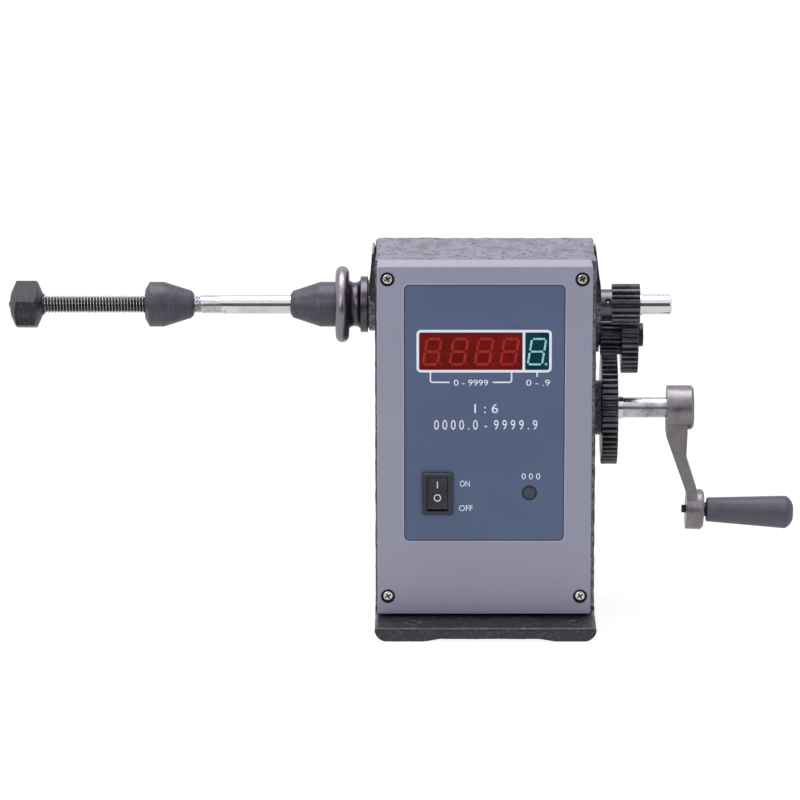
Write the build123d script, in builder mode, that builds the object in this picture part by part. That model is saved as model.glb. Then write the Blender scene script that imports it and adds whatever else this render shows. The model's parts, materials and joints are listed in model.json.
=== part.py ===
from build123d import *
from math import acos, atan2, cos, degrees, pi, radians, sin, tan
import os

# Hand-crank coil winding machine with an electronic turn counter, in millimetres.
# +X points to the crank, -Y to the front panel and +Z up. The origin is on the bench,
# straight below the winding spindle, at the middle of the casting's length.

# Casting: an upright iron box on a wider foot
CASTING_W = 108.0
CASTING_D = 54.0
CASTING_H = 182.0
WALL = 7.0
FLOOR_Z = 8.0
FOOT_D = 124.0
FOOT_T = 7.0
FOOT_CORNER_R = 6.0
ARCH_X0 = -26.0
ARCH_X1 = 30.0
ARCH_H = 1.2
ARCH_RUN = 4.0
OUTER_R = 2.0
CAVITY_R = 5.0
BOLT_X = 3.9
BOLT_PITCH_X = 79.0
BOLT_PITCH_Y = 106.0
BOLT_HOLE_R = 2.5

# Shaft lines, all parallel to X
SPINDLE_Y = 0.0
SPINDLE_Z = 153.8
CRANK_Y = 10.5
CRANK_Z = 99.03
IDLER_Y = 18.5
IDLER_Z = 134.13
SHAFT_R = 5.0
SPINDLE_R = 5.5
RUNNING_GAP = 0.05
BUSH_R = 7.0

# Bosses on the side walls
SPINDLE_BOSS_R = 13.0
CRANK_BOSS_R = 13.5
IDLER_PAD_R = 8.5
LEFT_BOSS_X = -56.7
RIGHT_BOSS_X = 56.4
CRANK_BOSS_X = 57.2
LEFT_PAD_TOP_X = -55.2
RIGHT_PAD_TOP_X = 54.2
PAD_SLOPE_Z = 165.0
INNER_BOSS_R = 11.0
INNER_BOSS_L = 7.0
CRANK_INNER_BOSS_L = 11.0

# Front cover, a shallow box over the casting's open front
COVER_X = -0.6
COVER_W = 104.0
COVER_D = 15.0
COVER_Z0 = 7.9
COVER_WALL = 2.5
COVER_R = 1.5
COVER_EDGE_R = 0.8
COVER_SCREW_DX = 46.9
COVER_SCREW_LOW_Z = 17.0
COVER_SCREW_HIGH_Z = 175.5
COVER_PILLAR_R = 5.0
COUNTERBORE_R = 3.5
COUNTERBORE_DEPTH = 2.6
LUG_SIDE = 12.0

# Printed overlay and the openings through it
OVERLAY_X = -0.7
OVERLAY_W = 77.8
OVERLAY_Z0 = 45.1
OVERLAY_Z1 = 172.9
OVERLAY_R = 2.5
OVERLAY_T = 0.3
OVERLAY_RECESS = 0.5
WINDOW_Z0 = 130.9
WINDOW_Z1 = 149.1
COUNT_X0 = -32.3
COUNT_X1 = 17.55
DECIMAL_X0 = 19.0
DECIMAL_X1 = 30.6
DISPLAY_GAP = 0.1
DISPLAY_SINK = 0.1

# Electronics
BOARD_FRONT = 8.0
BOARD_T = 1.6
BOARD_W = 80.0
BOARD_Z0 = 118.0
BOARD_Z1 = 160.0
BOARD_LEG_X0 = 4.0
BOARD_LEG_X1 = 40.0
BOARD_LEG_Z0 = 58.0
STANDOFF_PLACES = [(-36.5, 156.0), (36.5, 156.0), (-36.5, 122.0), (8.0, 62.0)]
STANDOFF_R = 3.0

# Rocker switch
SWITCH_X = -23.4
SWITCH_Z = 69.1
BEZEL_W = 15.0
BEZEL_H = 21.0
BEZEL_T = 2.2
SWITCH_BODY_W = 13.0
SWITCH_BODY_H = 19.0
SWITCH_BODY_D = 13.0
ROCKER_W = 9.8
ROCKER_R = 8.2
ROCKER_TILT = 8.0
ROCKER_BAND_BACK = 2.0
ROCKER_BAND_MIDDLE = 2.0
ROCKER_BAND_END = 3.1
ROCKER_PIN_R = 1.2

# Reset button
BUTTON_X = 21.25
BUTTON_Z = 69.3
BUTTON_R = 3.2
BUTTON_HOLE_R = 3.6
BUTTON_SINK = 0.2
BUTTON_CAP_T = 1.8
BUTTON_STEM_R = 1.6
BUTTON_TRAVEL = 1.5
RESET_SIDE = 8.5

# Spindle and what turns with it, as stations along X
SPINDLE_TIP_X = -233.4
TIP_SHOULDER_X = -232.3
THREAD_X0 = -231.3
THREAD_X1 = -139.3
THREAD_PITCH = 1.5
THREAD_CREST_R = 4.3
THREAD_ROOT_R = 3.4
NECK_R = 4.3
PLAIN_R = 4.65
SHOULDER_X = -129.2
SPINDLE_END_X = 91.3
CONE_R = 11.0
RIM_X = -69.9
RIM_MID_R = 15.45
RIM_TUBE_R = 3.3
PULLEY_WEB_X = -72.0
GROOVE_X0 = -66.6
GROOVE_X1 = -61.0
GROOVE_EDGE_R = 12.1
GROOVE_FLOOR_R = 10.75
FLANGE_R = 13.75
PULLEY_END_X = -57.4
DISC_X = -30.0
DISC_R = 19.0
DISC_T = 1.0
DISC_SLOTS = 10
SET_SCREW_R = 1.5
SET_SCREW_ANGLE = 23.0

# Gear train: module, teeth and faces
MODULE = 1.0
PRESSURE_ANGLE = radians(20.0)
TOOTH_THINNING = 0.12
PINION_TEETH = 18
IDLER_LARGE_TEETH = 36
IDLER_SMALL_TEETH = 18
CRANK_TEETH = 54
PINION_X0 = 62.1
PINION_X1 = 75.8
PINION_HUB_X0 = 56.7
PINION_HUB_R = 7.35
IDLER_SMALL_X0 = 57.2
IDLER_STEP_X = 67.5
IDLER_END_X = 75.6
CRANK_GEAR_X0 = 57.6
CRANK_GEAR_X1 = 65.3
IDLER_PIN_R = 4.0
IDLER_BUSH_R = 5.5

# Crank arm and handle
CRANK_SHAFT_X0 = -53.0
CRANK_HUB_X0 = 90.2
CRANK_HUB_X1 = 103.4
CRANK_HUB_R = 11.0
ARM_WIDTH = 16.0
HANDLE_X = 100.35
HANDLE_Z = 47.0
HANDLE_DROOP = 2.0
HANDLE_BOSS_R = 10.0
HANDLE_BOSS_L = 8.65
HANDLE_PIN_R = 2.5
GRIP_START = 10.15
GRIP_END = 50.0
GRIP_TIP = 53.3

# Worked out from the sizes above
COVER_FACE_Y = -CASTING_D / 2 - COVER_D
COVER_INSIDE_Y = COVER_FACE_Y + COVER_WALL
OVERLAY_Y = COVER_FACE_Y + OVERLAY_RECESS - OVERLAY_T
BOARD_Y = COVER_FACE_Y + BOARD_FRONT
CAVITY_W = CASTING_W - 2 * WALL
CAVITY_H = CASTING_H - WALL - FLOOR_Z
CAVITY_MID_Z = FLOOR_Z + CAVITY_H / 2
INNER_X = CAVITY_W / 2
COVER_SCREWS = [
    (COVER_X + side * COVER_SCREW_DX, height)
    for height in (COVER_SCREW_LOW_Z, COVER_SCREW_HIGH_Z)
    for side in (-1, 1)
]
IDLER_TO_SPINDLE = degrees(atan2(SPINDLE_Z - IDLER_Z, SPINDLE_Y - IDLER_Y))
CRANK_TO_IDLER = degrees(atan2(IDLER_Z - CRANK_Z, IDLER_Y - CRANK_Y))
HALF_PITCH = 180.0 / PINION_TEETH
HANDLE_DIRECTION = (cos(radians(HANDLE_DROOP)), 0, -sin(radians(HANDLE_DROOP)))
HANDLE_PLANE = Plane(origin=(HANDLE_X, CRANK_Y, HANDLE_Z), x_dir=HANDLE_DIRECTION, z_dir=(0, -1, 0))
HANDLE_AXIS = Axis((HANDLE_X, CRANK_Y, HANDLE_Z), HANDLE_DIRECTION)


def panel_plane(y):
    """Plane parallel to the front panel at y: its x is +X, its y is +Z, its normal is -Y."""
    return Plane.XZ.offset(-y)


def shaft_plane(y, z):
    """Plane through a shaft line: its x is +X and its y is the distance above the line."""
    return Plane(origin=(0, y, z), x_dir=(1, 0, 0), z_dir=(0, -1, 0))


def shaft_axis(y, z):
    """The line along X through y and z."""
    return Axis((0, y, z), (1, 0, 0))


def outline(points, plane):
    """Filled outline through the points, straight from each to the next."""
    with BuildSketch(plane) as shape:
        with BuildLine():
            Polyline(*points, close=True)
        make_face()
    return shape.sketch


def sleeve(x0, x1, inner_r, outer_r, plane):
    """Half section of a sleeve from x0 to x1 between two radii."""
    return outline([(x0, inner_r), (x1, inner_r), (x1, outer_r), (x0, outer_r)], plane)


def thread_points(x0, x1, pitch, crest_r, root_r):
    """Zigzag of a thread's section from x0 to x1, as whole turns between two crests."""
    turns = int((x1 - x0) / pitch)
    points = []
    for turn in range(turns):
        points.append((x0 + turn * pitch, crest_r))
        points.append((x0 + (turn + 0.5) * pitch, root_r))
    return points + [(x0 + turns * pitch, crest_r)]


def involute(angle):
    return tan(angle) - angle


def gear_outline(teeth, phase, plane):
    """Spur gear outline with one tooth centred at the phase angle, in degrees from local x."""
    pitch_r = MODULE * teeth / 2
    base_r = pitch_r * cos(PRESSURE_ANGLE)
    tip_r = pitch_r + MODULE
    root_r = pitch_r - 1.25 * MODULE
    start_r = max(base_r, root_r)
    half_tooth = pi / (2 * teeth) - TOOTH_THINNING / (2 * pitch_r)

    def half_angle(r):
        """Half the tooth's angle at radius r, from the involute of the base circle."""
        return half_tooth + involute(PRESSURE_ANGLE) - involute(acos(min(1.0, base_r / r)))

    def polar(r, angle):
        return (r * cos(angle), r * sin(angle))

    mid_r = (start_r + tip_r) / 2
    with BuildSketch(plane) as shape:
        with BuildLine():
            for tooth in range(teeth):
                middle = radians(phase) + 2 * pi * tooth / teeth
                gap_end = middle + 2 * pi / teeth - half_angle(start_r)
                gap_start = middle + half_angle(start_r)
                rise = [polar(r, middle - half_angle(r)) for r in (start_r, mid_r, tip_r)]
                fall = [polar(r, middle + half_angle(r)) for r in (tip_r, mid_r, start_r)]
                ThreePointArc(*rise)
                ThreePointArc(rise[2], polar(tip_r, middle), fall[0])
                ThreePointArc(*fall)
                if root_r < start_r:
                    Line(fall[2], polar(root_r, gap_start))
                    Line(polar(root_r, gap_end), polar(start_r, gap_end))
                ThreePointArc(
                    polar(root_r, gap_start),
                    polar(root_r, (gap_start + gap_end) / 2),
                    polar(root_r, gap_end),
                )
        make_face()
    return shape.sketch


SPINDLE_PLANE = shaft_plane(SPINDLE_Y, SPINDLE_Z)
SPINDLE_AXIS = shaft_axis(SPINDLE_Y, SPINDLE_Z)
CRANK_PLANE = shaft_plane(CRANK_Y, CRANK_Z)
CRANK_AXIS = shaft_axis(CRANK_Y, CRANK_Z)
IDLER_PLANE = shaft_plane(IDLER_Y, IDLER_Z)
IDLER_AXIS = shaft_axis(IDLER_Y, IDLER_Z)

# Iron casting: box, foot, bosses and lugs, then the cavity, bores and tapped holes
LUG_DEPTH = 12.0
SCREW_R = 1.5
PAD_CUT_X = 60.0
TRANSFORMER_X = 8.0
TRANSFORMER_Y = 0.0
TRANSFORMER_SCREW_DX = 26.5
TRANSFORMER_SCREW_DEPTH = 5.0
SENSOR_SCREW_PLACES = [(-5.0, 117.0), (5.0, 117.0)]
SENSOR_SCREW_DEPTH = 4.5
GROMMET_X = 30.0
GROMMET_Z = 26.0
GROMMET_R = 6.0

with BuildPart() as frame_casting:
    with BuildSketch(Plane.XY.offset(FOOT_T)):
        Rectangle(CASTING_W, CASTING_D)
    extrude(amount=CASTING_H - FOOT_T)
    fillet(frame_casting.edges().filter_by(Axis.Z), OUTER_R)
    fillet(frame_casting.faces().sort_by(Axis.Z)[-1].edges(), OUTER_R)
    with BuildSketch(Plane.XZ) as foot_section:
        with Locations((0, FOOT_T / 2)):
            Rectangle(CASTING_W, FOOT_T)
        fillet(foot_section.vertices().group_by(Axis.Y)[0], FOOT_CORNER_R)
    extrude(amount=FOOT_D / 2, both=True)
    # Raised pads round the spindle ends run up to the top, and the right one takes in the idler
    with BuildSketch(Plane.YZ.offset(-CASTING_W / 2)):
        with Locations((SPINDLE_Y, SPINDLE_Z)):
            Circle(SPINDLE_BOSS_R)
        with Locations((SPINDLE_Y, (SPINDLE_Z + CASTING_H) / 2)):
            Rectangle(2 * SPINDLE_BOSS_R, CASTING_H - SPINDLE_Z)
    extrude(amount=LEFT_BOSS_X + CASTING_W / 2)
    with BuildSketch(Plane.YZ.offset(CASTING_W / 2)):
        with Locations((SPINDLE_Y, SPINDLE_Z)):
            Circle(SPINDLE_BOSS_R)
        with Locations((IDLER_Y, IDLER_Z)):
            Circle(IDLER_PAD_R)
        make_hull()
        with Locations((SPINDLE_Y, (SPINDLE_Z + CASTING_H) / 2)):
            Rectangle(2 * SPINDLE_BOSS_R, CASTING_H - SPINDLE_Z)
    extrude(amount=RIGHT_BOSS_X - CASTING_W / 2)
    for face_x, top_x in ((LEFT_BOSS_X, LEFT_PAD_TOP_X), (RIGHT_BOSS_X, RIGHT_PAD_TOP_X)):
        side_x = PAD_CUT_X if face_x > 0 else -PAD_CUT_X
        slope = outline(
            [(face_x, PAD_SLOPE_Z), (side_x, PAD_SLOPE_Z), (side_x, CASTING_H), (top_x, CASTING_H)],
            Plane.XZ,
        )
        extrude(slope, amount=CASTING_D / 2, both=True, mode=Mode.SUBTRACT)
    with BuildSketch(Plane.YZ.offset(CASTING_W / 2)):
        with Locations((CRANK_Y, CRANK_Z)):
            Circle(CRANK_BOSS_R)
    extrude(amount=CRANK_BOSS_X - CASTING_W / 2)
    # Cavity, open to the front
    with BuildSketch(panel_plane(-CASTING_D / 2)):
        with Locations((0, CAVITY_MID_Z)):
            RectangleRounded(CAVITY_W, CAVITY_H, CAVITY_R)
    extrude(amount=WALL - CASTING_D, mode=Mode.SUBTRACT)
    # Inner bosses carry the bushes, and four lugs take the cover screws
    for side in (-1, 1):
        with BuildSketch(Plane.YZ.offset(side * INNER_X)):
            with Locations((SPINDLE_Y, SPINDLE_Z)):
                Circle(INNER_BOSS_R)
        extrude(amount=-side * INNER_BOSS_L)
        with BuildSketch(Plane.YZ.offset(side * INNER_X)):
            with Locations((CRANK_Y, CRANK_Z)):
                Circle(INNER_BOSS_R)
        extrude(amount=-side * CRANK_INNER_BOSS_L)
    with BuildSketch(panel_plane(-CASTING_D / 2)):
        with Locations(*COVER_SCREWS):
            Rectangle(LUG_SIDE, LUG_SIDE)
    extrude(amount=-LUG_DEPTH)
    # Bores for the bushes, then the idler pin's tapped hole
    with BuildSketch(Plane.YZ):
        with Locations((SPINDLE_Y, SPINDLE_Z), (CRANK_Y, CRANK_Z)):
            Circle(BUSH_R)
    extrude(amount=CASTING_W, both=True, mode=Mode.SUBTRACT)
    with BuildSketch(Plane.YZ.offset(INNER_X)):
        with Locations((IDLER_Y, IDLER_Z)):
            Circle(2 * SCREW_R)
    extrude(amount=CASTING_W / 2, mode=Mode.SUBTRACT)
    # Tapped holes for the cover, transformer and sensor, and the cable entry
    with BuildSketch(panel_plane(-CASTING_D / 2)):
        with Locations(*COVER_SCREWS):
            Circle(SCREW_R)
    extrude(amount=-LUG_DEPTH + SCREW_R, mode=Mode.SUBTRACT)
    with BuildSketch(Plane.XY.offset(FLOOR_Z)):
        with Locations((TRANSFORMER_X, TRANSFORMER_Y)):
            with GridLocations(2 * TRANSFORMER_SCREW_DX, 0, 2, 1):
                Circle(SCREW_R)
    extrude(amount=-TRANSFORMER_SCREW_DEPTH, mode=Mode.SUBTRACT)
    with BuildSketch(Plane.YZ.offset(-INNER_X)):
        with Locations(*SENSOR_SCREW_PLACES):
            Circle(SCREW_R)
    extrude(amount=-SENSOR_SCREW_DEPTH, mode=Mode.SUBTRACT)
    with BuildSketch(panel_plane(CASTING_D / 2)):
        with Locations((GROMMET_X, GROMMET_Z)):
            Circle(GROMMET_R)
    extrude(amount=WALL, mode=Mode.SUBTRACT)
    # Bolt holes in the foot, and the shallow arch under the middle of its front and rear ledges
    with BuildSketch(Plane.XY):
        with Locations((BOLT_X, 0)):
            with GridLocations(BOLT_PITCH_X, BOLT_PITCH_Y, 2, 2):
                Circle(BOLT_HOLE_R)
    extrude(amount=FOOT_T, mode=Mode.SUBTRACT)
    for side in (-1, 1):
        arch = outline(
            [
                (ARCH_X0 - ARCH_RUN, 0),
                (ARCH_X0 + ARCH_RUN, ARCH_H),
                (ARCH_X1 - ARCH_RUN, ARCH_H),
                (ARCH_X1 + ARCH_RUN, 0),
            ],
            panel_plane(side * CASTING_D / 2),
        )
        extrude(arch, amount=-side * (FOOT_D - CASTING_D) / 2, mode=Mode.SUBTRACT)

# Front cover: a tray with pillars at its four screws
COVER_H = CASTING_H - COVER_Z0
COVER_MID_Z = COVER_Z0 + COVER_H / 2
SCREW_CLEARANCE_R = 1.7
WINDOW_MID_Z = (WINDOW_Z0 + WINDOW_Z1) / 2
WINDOW_H = WINDOW_Z1 - WINDOW_Z0
DISPLAY_W = DECIMAL_X1 - COUNT_X0
CUTOUT_GAP = 0.4
OVERLAY_H = OVERLAY_Z1 - OVERLAY_Z0
OVERLAY_MID_Z = OVERLAY_Z0 + OVERLAY_H / 2

with BuildPart() as front_cover:
    with BuildSketch(panel_plane(-CASTING_D / 2)):
        with Locations((COVER_X, COVER_MID_Z)):
            RectangleRounded(COVER_W, COVER_H, COVER_R)
    extrude(amount=COVER_D)
    fillet(front_cover.faces().sort_by(Axis.Y)[0].edges(), COVER_EDGE_R)
    with BuildSketch(panel_plane(-CASTING_D / 2)):
        with Locations((COVER_X, COVER_MID_Z)):
            Rectangle(COVER_W - 2 * COVER_WALL, COVER_H - 2 * COVER_WALL)
        with Locations(*COVER_SCREWS):
            Circle(COVER_PILLAR_R, mode=Mode.SUBTRACT)
    extrude(amount=COVER_D - COVER_WALL, mode=Mode.SUBTRACT)
    with BuildSketch(panel_plane(COVER_FACE_Y)):
        with Locations((OVERLAY_X, OVERLAY_MID_Z)):
            RectangleRounded(OVERLAY_W, OVERLAY_H, OVERLAY_R)
    extrude(amount=-OVERLAY_RECESS, mode=Mode.SUBTRACT)
    with BuildSketch(panel_plane(COVER_FACE_Y)):
        with Locations(((COUNT_X0 + DECIMAL_X1) / 2, WINDOW_MID_Z)):
            Rectangle(DISPLAY_W, WINDOW_H)
        with Locations((SWITCH_X, SWITCH_Z)):
            Rectangle(SWITCH_BODY_W + CUTOUT_GAP, SWITCH_BODY_H + CUTOUT_GAP)
        with Locations((BUTTON_X, BUTTON_Z)):
            Circle(BUTTON_HOLE_R)
    extrude(amount=-COVER_D / 2, mode=Mode.SUBTRACT)
    with BuildSketch(panel_plane(COVER_FACE_Y)):
        with Locations(*COVER_SCREWS):
            Circle(SCREW_CLEARANCE_R)
    extrude(amount=-COVER_D, mode=Mode.SUBTRACT)
    with BuildSketch(panel_plane(COVER_FACE_Y)):
        with Locations(*COVER_SCREWS):
            Circle(COUNTERBORE_R)
    extrude(amount=-COUNTERBORE_DEPTH, mode=Mode.SUBTRACT)

# Printed overlay in the cover's recess
with BuildPart() as panel_overlay:
    with BuildSketch(panel_plane(OVERLAY_Y + OVERLAY_T)):
        with Locations((OVERLAY_X, OVERLAY_MID_Z)):
            RectangleRounded(OVERLAY_W, OVERLAY_H, OVERLAY_R)
        for left, right in ((COUNT_X0, COUNT_X1), (DECIMAL_X0, DECIMAL_X1)):
            with Locations(((left + right) / 2, WINDOW_MID_Z)):
                Rectangle(right - left, WINDOW_H, mode=Mode.SUBTRACT)
        with Locations((SWITCH_X, SWITCH_Z)):
            Rectangle(SWITCH_BODY_W + CUTOUT_GAP, SWITCH_BODY_H + CUTOUT_GAP, mode=Mode.SUBTRACT)
        with Locations((BUTTON_X, BUTTON_Z)):
            Circle(BUTTON_HOLE_R, mode=Mode.SUBTRACT)
    extrude(amount=OVERLAY_T)

# Cup washers line the cover's counterbores
CUP_WALL = 0.6
CUP_FLOOR = 0.5

with BuildPart() as cover_cups:
    with BuildSketch(panel_plane(COVER_FACE_Y + COUNTERBORE_DEPTH)):
        with Locations(*COVER_SCREWS):
            Circle(COUNTERBORE_R)
    extrude(amount=COUNTERBORE_DEPTH)
    with BuildSketch(panel_plane(COVER_FACE_Y)):
        with Locations(*COVER_SCREWS):
            Circle(COUNTERBORE_R - CUP_WALL)
    extrude(amount=CUP_FLOOR - COUNTERBORE_DEPTH, mode=Mode.SUBTRACT)
    with BuildSketch(panel_plane(COVER_FACE_Y)):
        with Locations(*COVER_SCREWS):
            Circle(SCREW_CLEARANCE_R)
    extrude(amount=-COUNTERBORE_DEPTH, mode=Mode.SUBTRACT)

# Cover screws: pan heads with a cross recess, seated in the cups
HEAD_R = 2.6
HEAD_T = 1.9
HEAD_EDGE_R = 0.8
RECESS_SPAN = 3.0
RECESS_WIDTH = 0.7
RECESS_DEPTH = 1.1
RECESS_TURN = 30.0
HEAD_SEAT_Y = COVER_FACE_Y + COUNTERBORE_DEPTH - CUP_FLOOR
COVER_SCREW_END_Y = -CASTING_D / 2 + LUG_DEPTH - 2 * SCREW_R

with BuildPart() as cover_screws:
    with BuildSketch(panel_plane(HEAD_SEAT_Y)):
        with Locations(*COVER_SCREWS):
            Circle(HEAD_R)
    extrude(amount=HEAD_T)
    fillet(cover_screws.faces().group_by(Axis.Y)[0].edges(), HEAD_EDGE_R)
    with BuildSketch(panel_plane(HEAD_SEAT_Y)):
        with Locations(*COVER_SCREWS):
            Circle(SCREW_R)
    extrude(amount=HEAD_SEAT_Y - COVER_SCREW_END_Y)
    with BuildSketch(panel_plane(HEAD_SEAT_Y - HEAD_T)):
        with Locations(*COVER_SCREWS):
            with Locations(Rotation(0, 0, RECESS_TURN)):
                Rectangle(RECESS_SPAN, RECESS_WIDTH)
                Rectangle(RECESS_WIDTH, RECESS_SPAN)
    extrude(amount=-RECESS_DEPTH, mode=Mode.SUBTRACT)

# Seven-segment modules, from the window back to the circuit board
DISPLAY_FACE_Y = OVERLAY_Y + DISPLAY_SINK

with BuildPart() as count_display:
    with BuildSketch(panel_plane(BOARD_Y)):
        with Locations(((COUNT_X0 + COUNT_X1) / 2, WINDOW_MID_Z)):
            Rectangle(COUNT_X1 - COUNT_X0 - 2 * DISPLAY_GAP, WINDOW_H - 2 * DISPLAY_GAP)
    extrude(amount=BOARD_Y - DISPLAY_FACE_Y)

with BuildPart() as decimal_display:
    with BuildSketch(panel_plane(BOARD_Y)):
        with Locations(((DECIMAL_X0 + DECIMAL_X1) / 2, WINDOW_MID_Z)):
            Rectangle(DECIMAL_X1 - DECIMAL_X0 - 2 * DISPLAY_GAP, WINDOW_H - 2 * DISPLAY_GAP)
    extrude(amount=BOARD_Y - DISPLAY_FACE_Y)

# Circuit board: wide behind the displays, with a leg down to the reset switch
BOARD_SCREW_R = 1.25
BOARD_SCREW_HEAD_R = 2.25
BOARD_SCREW_HEAD_T = 1.6
BOARD_SCREW_L = 5.0

with BuildPart() as circuit_board:
    with BuildSketch(panel_plane(BOARD_Y + BOARD_T)):
        with Locations((0, (BOARD_Z0 + BOARD_Z1) / 2)):
            Rectangle(BOARD_W, BOARD_Z1 - BOARD_Z0)
        with Locations(((BOARD_LEG_X0 + BOARD_LEG_X1) / 2, (BOARD_LEG_Z0 + BOARD_Z0) / 2)):
            Rectangle(BOARD_LEG_X1 - BOARD_LEG_X0, BOARD_Z0 - BOARD_LEG_Z0)
        with Locations(*STANDOFF_PLACES):
            Circle(BOARD_SCREW_R, mode=Mode.SUBTRACT)
    extrude(amount=BOARD_T)

with BuildPart() as board_standoffs:
    with BuildSketch(panel_plane(BOARD_Y)):
        with Locations(*STANDOFF_PLACES):
            RegularPolygon(STANDOFF_R, 6)
            Circle(BOARD_SCREW_R, mode=Mode.SUBTRACT)
    extrude(amount=BOARD_Y - COVER_INSIDE_Y)

with BuildPart() as board_screws:
    with BuildSketch(panel_plane(BOARD_Y + BOARD_T + BOARD_SCREW_HEAD_T)):
        with Locations(*STANDOFF_PLACES):
            Circle(BOARD_SCREW_HEAD_R)
    extrude(amount=BOARD_SCREW_HEAD_T)
    with BuildSketch(panel_plane(BOARD_Y + BOARD_T)):
        with Locations(*STANDOFF_PLACES):
            Circle(BOARD_SCREW_R)
    extrude(amount=BOARD_SCREW_L)

# Parts on the back of the board: (x, z, width, height, depth) blocks and (x, z, radius, depth) cans
BOARD_BLOCKS = [
    (-8.0, 140.0, 36.0, 8.0, 4.0),
    (26.0, 150.0, 11.0, 8.0, 6.0),
    (-30.0, 146.0, 8.0, 10.0, 5.0),
    (22.0, 96.0, 8.0, 14.0, 4.5),
    (32.0, 78.0, 7.0, 12.0, 8.0),
]
BOARD_CANS = [(28.0, 128.0, 4.0, 9.0), (14.0, 112.0, 3.2, 7.0), (33.0, 110.0, 5.0, 9.0)]
BOARD_BACK_Y = BOARD_Y + BOARD_T

with BuildPart() as board_components:
    for x, z, width, height, depth in BOARD_BLOCKS:
        with BuildSketch(panel_plane(BOARD_BACK_Y)):
            with Locations((x, z)):
                Rectangle(width, height)
        extrude(amount=-depth)
    for x, z, radius, depth in BOARD_CANS:
        with BuildSketch(panel_plane(BOARD_BACK_Y)):
            with Locations((x, z)):
                Circle(radius)
        extrude(amount=-depth)

# Rocker switch: bezel and body in one moulding, blades behind, and the rocker on its pivot
BEZEL_R = 1.0
ROCKER_ROOM = 0.6
SWITCH_CAVITY_W = ROCKER_W + ROCKER_ROOM
SWITCH_CAVITY_H = 2 * ROCKER_R + ROCKER_ROOM
SWITCH_CAVITY_D = 7.5
PIVOT_DEPTH = 3.0
PIVOT_SEAT_GAP = 0.2
BEZEL_FACE_Y = OVERLAY_Y - BEZEL_T
PIVOT_Y = BEZEL_FACE_Y + PIVOT_DEPTH
BLADE_W = 4.8
BLADE_T = 0.8
BLADE_L = 7.0
BLADE_DZ = 4.5
SWITCH_BACK_Y = OVERLAY_Y + SWITCH_BODY_D

with BuildPart() as switch_housing:
    with BuildSketch(panel_plane(OVERLAY_Y)):
        with Locations((SWITCH_X, SWITCH_Z)):
            RectangleRounded(BEZEL_W, BEZEL_H, BEZEL_R)
    extrude(amount=BEZEL_T)
    chamfer(switch_housing.faces().sort_by(Axis.Y)[0].edges(), BEZEL_R / 2)
    with BuildSketch(panel_plane(OVERLAY_Y)):
        with Locations((SWITCH_X, SWITCH_Z)):
            Rectangle(SWITCH_BODY_W, SWITCH_BODY_H)
    extrude(amount=-SWITCH_BODY_D)
    with BuildSketch(panel_plane(BEZEL_FACE_Y)):
        with Locations((SWITCH_X, SWITCH_Z)):
            Rectangle(SWITCH_CAVITY_W, SWITCH_CAVITY_H)
    extrude(amount=-SWITCH_CAVITY_D, mode=Mode.SUBTRACT)
    with BuildSketch(Plane.YZ.offset(SWITCH_X)):
        with Locations((PIVOT_Y, SWITCH_Z)):
            Circle(ROCKER_PIN_R + RUNNING_GAP)
    extrude(amount=SWITCH_BODY_W / 2 - PIVOT_SEAT_GAP, both=True, mode=Mode.SUBTRACT)

with BuildPart() as switch_terminals:
    with BuildSketch(panel_plane(SWITCH_BACK_Y)):
        with Locations((SWITCH_X, SWITCH_Z)):
            with GridLocations(0, 2 * BLADE_DZ, 1, 2):
                Rectangle(BLADE_W, BLADE_T)
    extrude(amount=-BLADE_L)

ROCKER_PLANE = Plane(
    origin=(SWITCH_X, PIVOT_Y, SWITCH_Z),
    x_dir=(0, cos(radians(ROCKER_TILT)), -sin(radians(ROCKER_TILT))),
    z_dir=(1, 0, 0),
)
ROCKER_PIN_L = 6.0

with BuildPart() as power_rocker:
    with BuildSketch(ROCKER_PLANE):
        Circle(ROCKER_R)
        with BuildLine():
            Polyline(
                (ROCKER_BAND_BACK, -ROCKER_R),
                (ROCKER_BAND_BACK, ROCKER_R),
                (-ROCKER_BAND_END, ROCKER_R),
                (-ROCKER_BAND_MIDDLE, 0),
                (-ROCKER_BAND_END, -ROCKER_R),
                close=True,
            )
        make_face(mode=Mode.INTERSECT)
    extrude(amount=ROCKER_W / 2, both=True)
    with BuildSketch(ROCKER_PLANE):
        Circle(ROCKER_PIN_R)
    extrude(amount=ROCKER_PIN_L, both=True)

# Reset switch on the board's leg and its button, which slides in through the cover
RESET_BODY_D = 3.6
STEM_DEPTH = 1.6
STEM_HOLE_GAP = 0.1
RESET_FACE_Y = BOARD_Y - RESET_BODY_D
BUTTON_FACE_Y = OVERLAY_Y + BUTTON_SINK
BUTTON_EDGE_R = 0.4
STEM_END_Y = RESET_FACE_Y + STEM_DEPTH

with BuildPart() as reset_switch_body:
    with BuildSketch(panel_plane(BOARD_Y)):
        with Locations((BUTTON_X, BUTTON_Z)):
            Rectangle(RESET_SIDE, RESET_SIDE)
    extrude(amount=BOARD_Y - RESET_FACE_Y)
    with BuildSketch(panel_plane(RESET_FACE_Y)):
        with Locations((BUTTON_X, BUTTON_Z)):
            Circle(BUTTON_STEM_R + STEM_HOLE_GAP)
    extrude(amount=RESET_FACE_Y - STEM_END_Y - BUTTON_TRAVEL - RUNNING_GAP, mode=Mode.SUBTRACT)

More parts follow.
